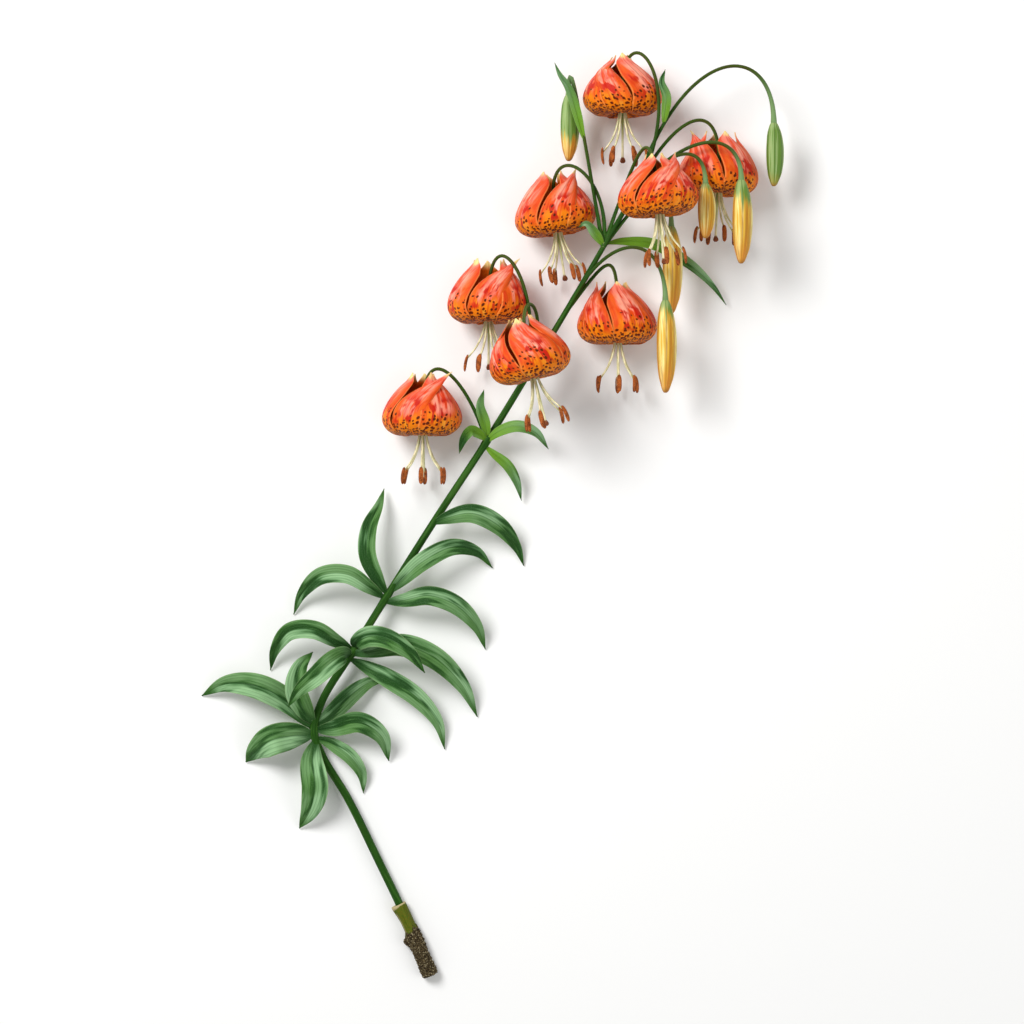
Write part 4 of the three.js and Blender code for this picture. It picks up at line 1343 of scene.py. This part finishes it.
def anther_mesh(look, material):
    """One anther round the origin: a long cushion with a furrow down each flat side."""
    shares = np.linspace(-0.5, 0.5, 21)[:, None]
    angles = circle(16)
    full = np.sqrt(np.clip(1 - (abs(shares) / 0.5) ** 3.2, 0, 1)) * 0.94 + 0.06
    furrow = 1 - 0.22 * abs(np.cos(angles)) ** 6
    bow = mm(0.7) * (1 - (2 * shares) ** 2)
    wide = look.anther_width / 2
    x = 0.7 * wide * full * np.cos(angles) * furrow + bow
    y = wide * full * np.sin(angles)
    rings = np.stack(np.broadcast_arrays(x, y, shares * look.anther_length), axis=-1)
    mesh = skin_mesh("anther", *closed_loft(rings))
    mesh.materials.append(material)
    return mesh


def stamen_places(place, number):
    """Line of each filament, middle of its anther and the turn of the anther, for the six stamens."""
    lines, middles, tilts = [], [], []
    for i in range(6):
        seed = 20 * number + i
        angle = (i + 0.5) * math.pi / 3 + 0.2 * jitter(seed)
        reach = 0.92 + 0.12 * jitter(seed + 7)
        lean = 0.1 + 0.18 * jitter(seed + 3)
        radius, depth = FILAMENT_ROUTE.T
        radius = radius * np.array([1, 1, reach, reach])
        lines.append(Line(smooth(place.points(angle, radius, -depth))).at(np.linspace(0, 1, 25)))
        middles.append(place.points(angle, radius[-1], -depth[-1] - ANTHER_DROP))
        axis = unit(place.points(angle, radius[-1] - lean, 1) - place.points(angle, radius[-1], 0))
        out = unit(place.outward(angle))
        out = unit(out - axis * np.dot(out, axis))
        turn = Matrix(np.stack([out, np.cross(axis, out), axis], axis=1).tolist())
        tilts.append(np.array(turn.to_euler()))
    return lines, middles, tilts


def pistil_mesh(place, material):
    """Ovary, style and stigma in one, with six low lobes on the ovary and three on the stigma."""
    depths, radii = PISTIL_PROFILE.T
    shares = np.linspace(0, 1, 61)[:, None]
    marks = (depths - depths[0]) / (depths[-1] - depths[0])
    angles = circle(24)
    depth = depths[0] + shares * (depths[-1] - depths[0])
    ovary = (shares < 0.25) * 0.07 * np.cos(6 * angles)
    stigma = (shares > 0.92) * 0.13 * np.cos(3 * angles)
    radius = np.interp(shares, marks, radii) * (1 + ovary + stigma)
    points, faces = closed_loft(place.points(angles[:, ::-1], radius, -depth))
    along, x, y, z = np.broadcast_arrays(shares, radius * np.cos(angles), radius * np.sin(angles), depth)
    skin = with_ends(np.stack([x, y, z], axis=-1))
    mesh = skin_mesh("pistil", points, faces, along=with_ends(along), skin=skin)
    mesh.materials.append(material)
    return mesh


def joined(name, meshes):
    """One mesh from several, each with its own material."""
    holders = [in_scene(name, mesh) for mesh in meshes]
    with bpy.context.temp_override(active_object=holders[0], selected_editable_objects=holders):
        bpy.ops.object.join()
    mesh = holders[0].data
    bpy.data.objects.remove(holders[0])
    return mesh


class LILY_OT_stamens(bpy.types.Operator):
    """Build the six stamens and the pistil of each bloom"""

    bl_idname = "lily.stamens"
    bl_label = "Stamens and pistils"

    def execute(self, context):
        look = context.scene.lily_stamens
        filament, anther, pistil = filament_material(look), anther_material(look), pistil_material(look)
        stalks, ring = stalk_shaper(), ring_shaper()
        model = bpy.data.objects.new("anther", anther_mesh(look, anther))
        for number, place in enumerate(BLOOM_PLACES, 1):
            lines, middles, tilts = stamen_places(place, number)
            shares = np.linspace(0, 1, len(lines[0]))
            radii = look.filament * np.interp(shares, [0, 0.5, 0.9, 1], [1.1, 0.95, 0.7, 0.5])
            name = f"bloom_{number}_stamen_ring"
            count = len(lines)
            source = edge_mesh(name, lines, stalk_radius=[radii] * count, along=[shares] * count)
            threads = shape(stalks, source, name, Sides=look.sides, Ribs=0, Depth=0, Material=filament)
            dots = bpy.data.meshes.new(name)
            dots.from_pydata(np.array(middles).tolist(), [], [])
            store(dots, "tilt", [np.array(tilts)])
            anthers = shape(ring, dots, name, Anther=model, Material=anther)
            mesh = joined(name, [threads, anthers, pistil_mesh(place, pistil)])
            new_piece(name, mesh, None, f"bloom_{number}_stamens", "stamen_mix")
        bpy.data.objects.remove(model)
        return {"FINISHED"}


class LILY_OT_buds(bpy.types.Operator):
    """Build the ribbed buds"""

    bl_idname = "lily.buds"
    bl_label = "Buds"

    def execute(self, context):
        look = context.scene.lily_buds
        tree = bud_shaper()
        material = bud_material(look)
        for number, (place, (*_, long, wide, green)) in enumerate(zip(BUD_PLACES, BUDS), 1):
            name = f"bud_{number}_closed_tepals"
            mesh = shape(
                tree, bpy.data.meshes.new(name), name, Length=float(mm(long)), Width=float(mm(wide)),
                Green=float(green), Rib=look.rib, Seam=look.seam, Bend=look.bend, Sides=look.sides,
                Rings=look.rings, Material=material,
            )
            mesh.transform(place.matrix() @ Matrix.Translation((0, 0, BUD_LIFT)))
            new_piece(name, mesh, None, f"bud_{number}", "bud_green" if green > 0.5 else "bud_gold")
        return {"FINISHED"}


def leaf_line(start, route):
    """Middle line of a leaf from the stem, or of a bract that may start on a bud's stalk."""
    if isinstance(start, tuple):
        bud, place_on_stalk = start
        root = BUD_PLACES[bud - 1].stalk().at(place_on_stalk)
    else:
        root = on_stem(start)
    return Line(smooth(np.vstack([root, mm(route)])))


def leaf_width(shares):
    """Width by share of the length: a narrow base, a broad middle and an acute tip."""
    blade = np.sin(math.pi * np.minimum(shares**0.82, 0.9999)) ** 0.85
    return np.maximum(np.maximum(blade, 0.26 * (1 - shares) ** 2), 0.05)


def leaf_relief(look, row, shares, side, full, seed):
    """Lift of a leaf's folded-up edges, waves, ripples and channel over its flat form."""
    _, width, fold, wave, _ = row
    half = mm(width) / 2 * full
    lean = np.sin(2 * math.pi * look.waves * shares)
    ripple = np.sin(2 * math.pi * LEAF_RIPPLES * shares + 3 * jitter(seed))
    folded = np.sqrt(side**2 + SOFT_FOLD) - math.sqrt(SOFT_FOLD) + 0.10 * np.sin(math.pi * abs(side))
    lift = fold * half * folded
    lift = lift + mm(wave) * side * full * lean + 0.25 * mm(wave) * abs(side) ** 3 * full * ripple
    return lift - look.keel * bump(side, 0.07) * np.minimum(full, 0.6)


def leaf_mesh(look, name, row, seed):
    """A leaf or bract: a closed sheet with its upper face upwards."""
    start, width, *_, route = row
    line = leaf_line(start, route)
    depth = STALK_DEPTH if isinstance(start, tuple) else STEM_DEPTH
    shares = np.linspace(depth / line.length, 1, look.rows + 1)
    side = np.linspace(-1, 1, look.columns + 1)[None, :]
    along = line.tangent(shares, 0.07)
    across = unit(np.cross(along, UP))
    face = np.cross(across, along)
    middle = line.at(shares)
    shares = shares[:, None]
    full = leaf_width(shares)
    sideways = side * (mm(width) / 2 * full)
    lift = leaf_relief(look, row, shares, side, full, seed)
    grid = middle[:, None] + across[:, None] * sideways[..., None] + face[:, None] * lift[..., None]
    thick = blade_thickness(look, side, np.ones_like(full))
    along, across = np.broadcast_arrays(shares, side)
    shell = Shell()
    grid, thick, along, across = (rows[:, ::-1] for rows in (grid - ORIGIN, thick, along, across))
    add_sheet(shell, grid, thick, along, across, LEAF_SHIFT * seed)
    return shell.mesh(name)


def add_leaf(look, node, row, seed, material, slot):
    """Makes the finished leaf or bract that stands for a node."""
    name = f"{node}_blade"
    new_piece(name, leaf_mesh(look, name, row, seed), material, node, slot)


class LILY_OT_leaves(bpy.types.Operator):
    """Build the leaves of the whorls and the single ones"""

    bl_idname = "lily.leaves"
    bl_label = "Leaves"

    def execute(self, context):
        look = context.scene.lily_leaves
        material = leaf_material(look, bract=False)
        seeds = itertools.count(1)
        for group, rows in LEAVES.items():
            for number, row in enumerate(rows, 1):
                add_leaf(look, f"{group}_{number}", row, next(seeds), material, "leaf_green")
        return {"FINISHED"}


class LILY_OT_bracts(bpy.types.Operator):
    """Build the small leaves under the flower stalks"""

    bl_idname = "lily.bracts"
    bl_label = "Bracts"

    def execute(self, context):
        look = context.scene.lily_leaves
        material = leaf_material(look, bract=True)
        for number, row in enumerate(BRACTS, 1):
            add_leaf(look, f"bract_{number}", row, BRACT_SEED + number, material, "bract_green")
        return {"FINISHED"}


def stem_sources(look):
    """Polylines of the stem and then of each flower stalk, with what their points keep."""
    shares = np.linspace(0, 1, 421)
    points = STEM.at(shares)
    radii = np.interp(points[:, 1], *STEM_RADII.T)
    radii = radii + look.whorl * sum(bump(points[:, 1] - height, WHORL_SPREAD) for height in WHORL_HEIGHTS)
    yield stalk_source(points, radii, shares, 0, 0)
    shares = np.linspace(0, 1, 65)
    for place in BLOOM_PLACES + BUD_PLACES:
        radii = np.interp(shares, STALK_SHARES, STALK_RADII)
        pale = np.interp(shares, [0.72, 1], [0, 1]) * (place in BUD_PLACES)
        yield stalk_source(place.stalk().at(shares), radii + mm(0.5) * pale, shares, 1, pale)


def stalk_source(points, radii, shares, kind, pale):
    """A polyline that keeps its radius, share, paleness and kind: 0 for the stem and 1 for a stalk."""
    values = {"stalk_radius": radii, "along": shares, "stalk": kind, "pale": pale}
    rows = {name: [np.full_like(shares, value)] for name, value in values.items()}
    return edge_mesh("stalk", [points - ORIGIN], **rows)


def grown_together(stalks):
    """One mesh from the stem and its stalks."""
    parts = bpy.data.collections.new("stalks")
    bpy.context.scene.collection.children.link(parts)
    for stalk in stalks[1:]:
        parts.objects.link(stalk)
    union = stalks[0].modifiers.new("Union", "BOOLEAN")
    union.operation = "UNION"
    union.operand_type = "COLLECTION"
    union.collection = parts
    union.solver = "MANIFOLD"
    mesh = plain_mesh(stalks[0])
    for stalk in stalks:
        bpy.data.objects.remove(stalk)
    bpy.data.collections.remove(parts)
    return mesh


class LILY_OT_stem(bpy.types.Operator):
    """Build the stem with its arching flower stalks, grown together as one"""

    bl_idname = "lily.stem"
    bl_label = "Stem and stalks"

    def execute(self, context):
        look = context.scene.lily_stem
        tree = stalk_shaper()
        material = stem_material(look)
        made = []
        for source in stem_sources(look):
            sides, ribs = (look.sides // 2, 0) if made else (look.sides, look.ribs)
            mesh = shape(tree, source, "stalk", Sides=sides, Ribs=ribs, Depth=look.rib, Material=material)
            made.append(in_scene("stalk", mesh))
        new_piece("stem_and_stalks", grown_together(made), material, "stem", "stem_green")
        return {"FINISHED"}


def left_share(angle):
    """1 at the left side of the foot, and 0 from its top and bottom to its right."""
    return np.maximum(0, np.cos(angle - LEFT_SIDE))


def sheath_radius(look, distance, angle):
    """Radius of the sheath with its stub, knob, furrows and crust, and how crusted it is."""
    stub = mm(2.2) * bump(SHEATH_LENGTH - distance, mm(10)) * left_share(angle)
    knob = mm(3.2) * bump(distance - CRUST_LENGTH + mm(7.5), mm(3.6)) * left_share(angle) ** 2
    lump = np.sin(3 * angle + 600 * distance) * np.cos(850 * distance + angle)
    lump = lump + 0.5 * np.sin(7 * angle + 1900 * distance) * np.cos(2300 * distance - 2 * angle)
    ragged = mm(2) * np.cos(angle - LEFT_SIDE) + mm(1.4) * np.sin(5 * angle + 2)
    ragged = ragged + mm(0.7) * np.sin(11 * angle)
    crusted = 1 / (1 + np.exp((distance - CRUST_LENGTH + ragged) / mm(0.6)))
    furrows = mm(0.12) * np.cos(11 * angle)
    sheath = SHEATH_RADIUS + stub + furrows
    return sheath + crusted * (CRUST_RADIUS - SHEATH_RADIUS + look.lump * lump) + knob, crusted


def round_stem(distance, angles, radius):
    """Rings of points round the stem's middle line, at distances from the cut."""
    shares = distance[:, 0] / STEM.length
    along = STEM.tangent(shares)
    top = unit(UP - along * (along @ UP)[:, None])
    right = np.cross(along, top)
    way = np.cos(angles)[..., None] * top[:, None] + np.sin(angles)[..., None] * right[:, None]
    return STEM.at(shares)[:, None] + way * radius[..., None] - ORIGIN


def sheath_mesh(look, name):
    """A tube open along the stem, with a dry rim at its top and a dry line down its side."""
    distance = np.linspace(0, SHEATH_LENGTH, 121)[:, None]
    angles = circle(64)
    radius, crusted = sheath_radius(look, distance, angles)
    ends = [0, mm(0.8), SHEATH_LENGTH - mm(0.7), SHEATH_LENGTH]
    radius = radius + np.interp(distance, ends, [mm(-0.9), 0, 0, mm(-0.5)])
    bore = np.full_like(radius, BORE_RADIUS)
    points = np.stack([round_stem(distance, angles, size) for size in (radius, bore)])
    points[..., 2] = np.maximum(points[..., 2], 0)
    rim = bump(SHEATH_LENGTH - distance, mm(2) + mm(3.5) * left_share(angles))
    rim = np.maximum(rim, bump(angles - DRY_LINE, 0.11) * np.interp(distance, *DRY_LINE_REACH))
    skin = np.broadcast_arrays(radius * np.cos(angles), radius * np.sin(angles), distance)
    strewn = crusted * (points[0, ..., 2] > look.grain)
    return skin_mesh(
        name, points, tube_faces(*radius.shape), zone=np.stack([strewn, 0 * strewn]),
        **on_both(crust=crusted, rim=rim, skin=np.stack(skin, axis=-1), grain=0 * crusted),
    )


class LILY_OT_foot(bpy.types.Operator):
    """Build the dry sheath on the foot, with its crust and grains of soil"""

    bl_idname = "lily.foot"
    bl_label = "Foot sheath"

    def execute(self, context):
        look = context.scene.lily_stem
        name = "foot_sheath_and_soil"
        square_centimetre = 1e-4
        mesh = shape(
            grain_shaper(), sheath_mesh(look, name), name, Size=look.grain, Seed=GRAIN_SEED,
            Number=look.grains / square_centimetre, Material=foot_material(look),
        )
        new_piece(name, mesh, None, "foot_sheath", "soil_brown")
        return {"FINISHED"}


def add_light(name, place, target, size, power):
    """Adds a round lamp that shines at the target."""
    light = bpy.data.lights.new(name, "AREA")
    light.shape = "DISK"
    light.size = size
    light.energy = power
    lamp = in_scene(name, light)
    lamp.location = place
    lamp.rotation_euler = (Vector(target) - Vector(place)).to_track_quat("-Z", "Y").to_euler()


def add_floor(look):
    """A floor that reaches far past the view."""
    bpy.ops.mesh.primitive_circle_add(vertices=96, radius=FLOOR_RADIUS, fill_type="NGON")
    floor = bpy.context.object
    floor.name = "floor"
    floor.data.materials.append(floor_material(look))
    floor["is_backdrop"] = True


def add_sky(strength):
    """Even white light from all round."""
    world = bpy.data.worlds.new("sky")
    world.use_nodes = True
    sky = world.node_tree.nodes["Background"]
    sky.inputs["Color"].default_value = (1, 1, 1, 1)
    sky.inputs["Strength"].default_value = strength
    bpy.context.scene.world = world


def add_camera(look, target):
    """A camera that looks straight down at the target."""
    camera = bpy.data.cameras.new("camera")
    camera.lens = camera.sensor_width * look.distance / look.width
    camera.clip_end = 100
    seat = in_scene("camera", camera)
    seat.location = target + Vector((0, 0, look.distance))
    bpy.context.scene.camera = seat


class LILY_OT_stage(bpy.types.Operator):
    """Set the floor, the studio light and the camera that looks straight down"""

    bl_idname = "lily.stage"
    bl_label = "Floor, light and camera"

    def execute(self, context):
        look = context.scene.lily_stage
        centre = Vector(look.centre)
        add_floor(look)
        add_light("key", KEY_PLACE, centre, KEY_SIZE, look.key)
        add_light("fill", FILL_PLACE, centre, FILL_SIZE, look.fill)
        add_sky(look.sky)
        add_camera(look, centre)
        context.scene.view_settings.view_transform = "Standard"
        return {"FINISHED"}


class LILY_PT_panel(bpy.types.Panel):
    """Lists the pieces of the lily, in the order in which they are made"""

    bl_idname = "LILY_PT_panel"
    bl_label = "Leopard lily"
    bl_space_type = "VIEW_3D"
    bl_region_type = "UI"
    bl_category = "Lily"

    def draw(self, context):
        for operator in OPERATORS:
            self.layout.operator(operator.bl_idname)
        for name in SETTINGS:
            settings = getattr(context.scene, name)
            box = self.layout.box()
            box.label(text=settings.bl_rna.description)
            for label in settings.__annotations__:
                box.prop(settings, label)


OPERATORS = [
    LILY_OT_stage, LILY_OT_stem, LILY_OT_foot, LILY_OT_leaves, LILY_OT_bracts, LILY_OT_tepals,
    LILY_OT_stamens, LILY_OT_buds,
]
SETTINGS = {
    "lily_tepals": TepalSettings,
    "lily_stamens": StamenSettings,
    "lily_buds": BudSettings,
    "lily_leaves": LeafSettings,
    "lily_stem": StemSettings,
    "lily_stage": StageSettings,
}
CLASSES = (*SETTINGS.values(), *OPERATORS, LILY_PT_panel)


def register():
    for kind in CLASSES:
        bpy.utils.register_class(kind)
    for name, kind in SETTINGS.items():
        setattr(bpy.types.Scene, name, PointerProperty(type=kind))


def unregister():
    for name in SETTINGS:
        delattr(bpy.types.Scene, name)
    for kind in reversed(CLASSES):
        bpy.utils.unregister_class(kind)


def main():
    register()
    for operator in OPERATORS:
        group, name = operator.bl_idname.split(".")
        getattr(getattr(bpy.ops, group), name)()
    boxes = {"cad": CAD_BOX, "visual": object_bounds()}
    {name: [list(corner) for corner in box] for name, box in boxes.items()}


if __name__ == "__main__":
    main()
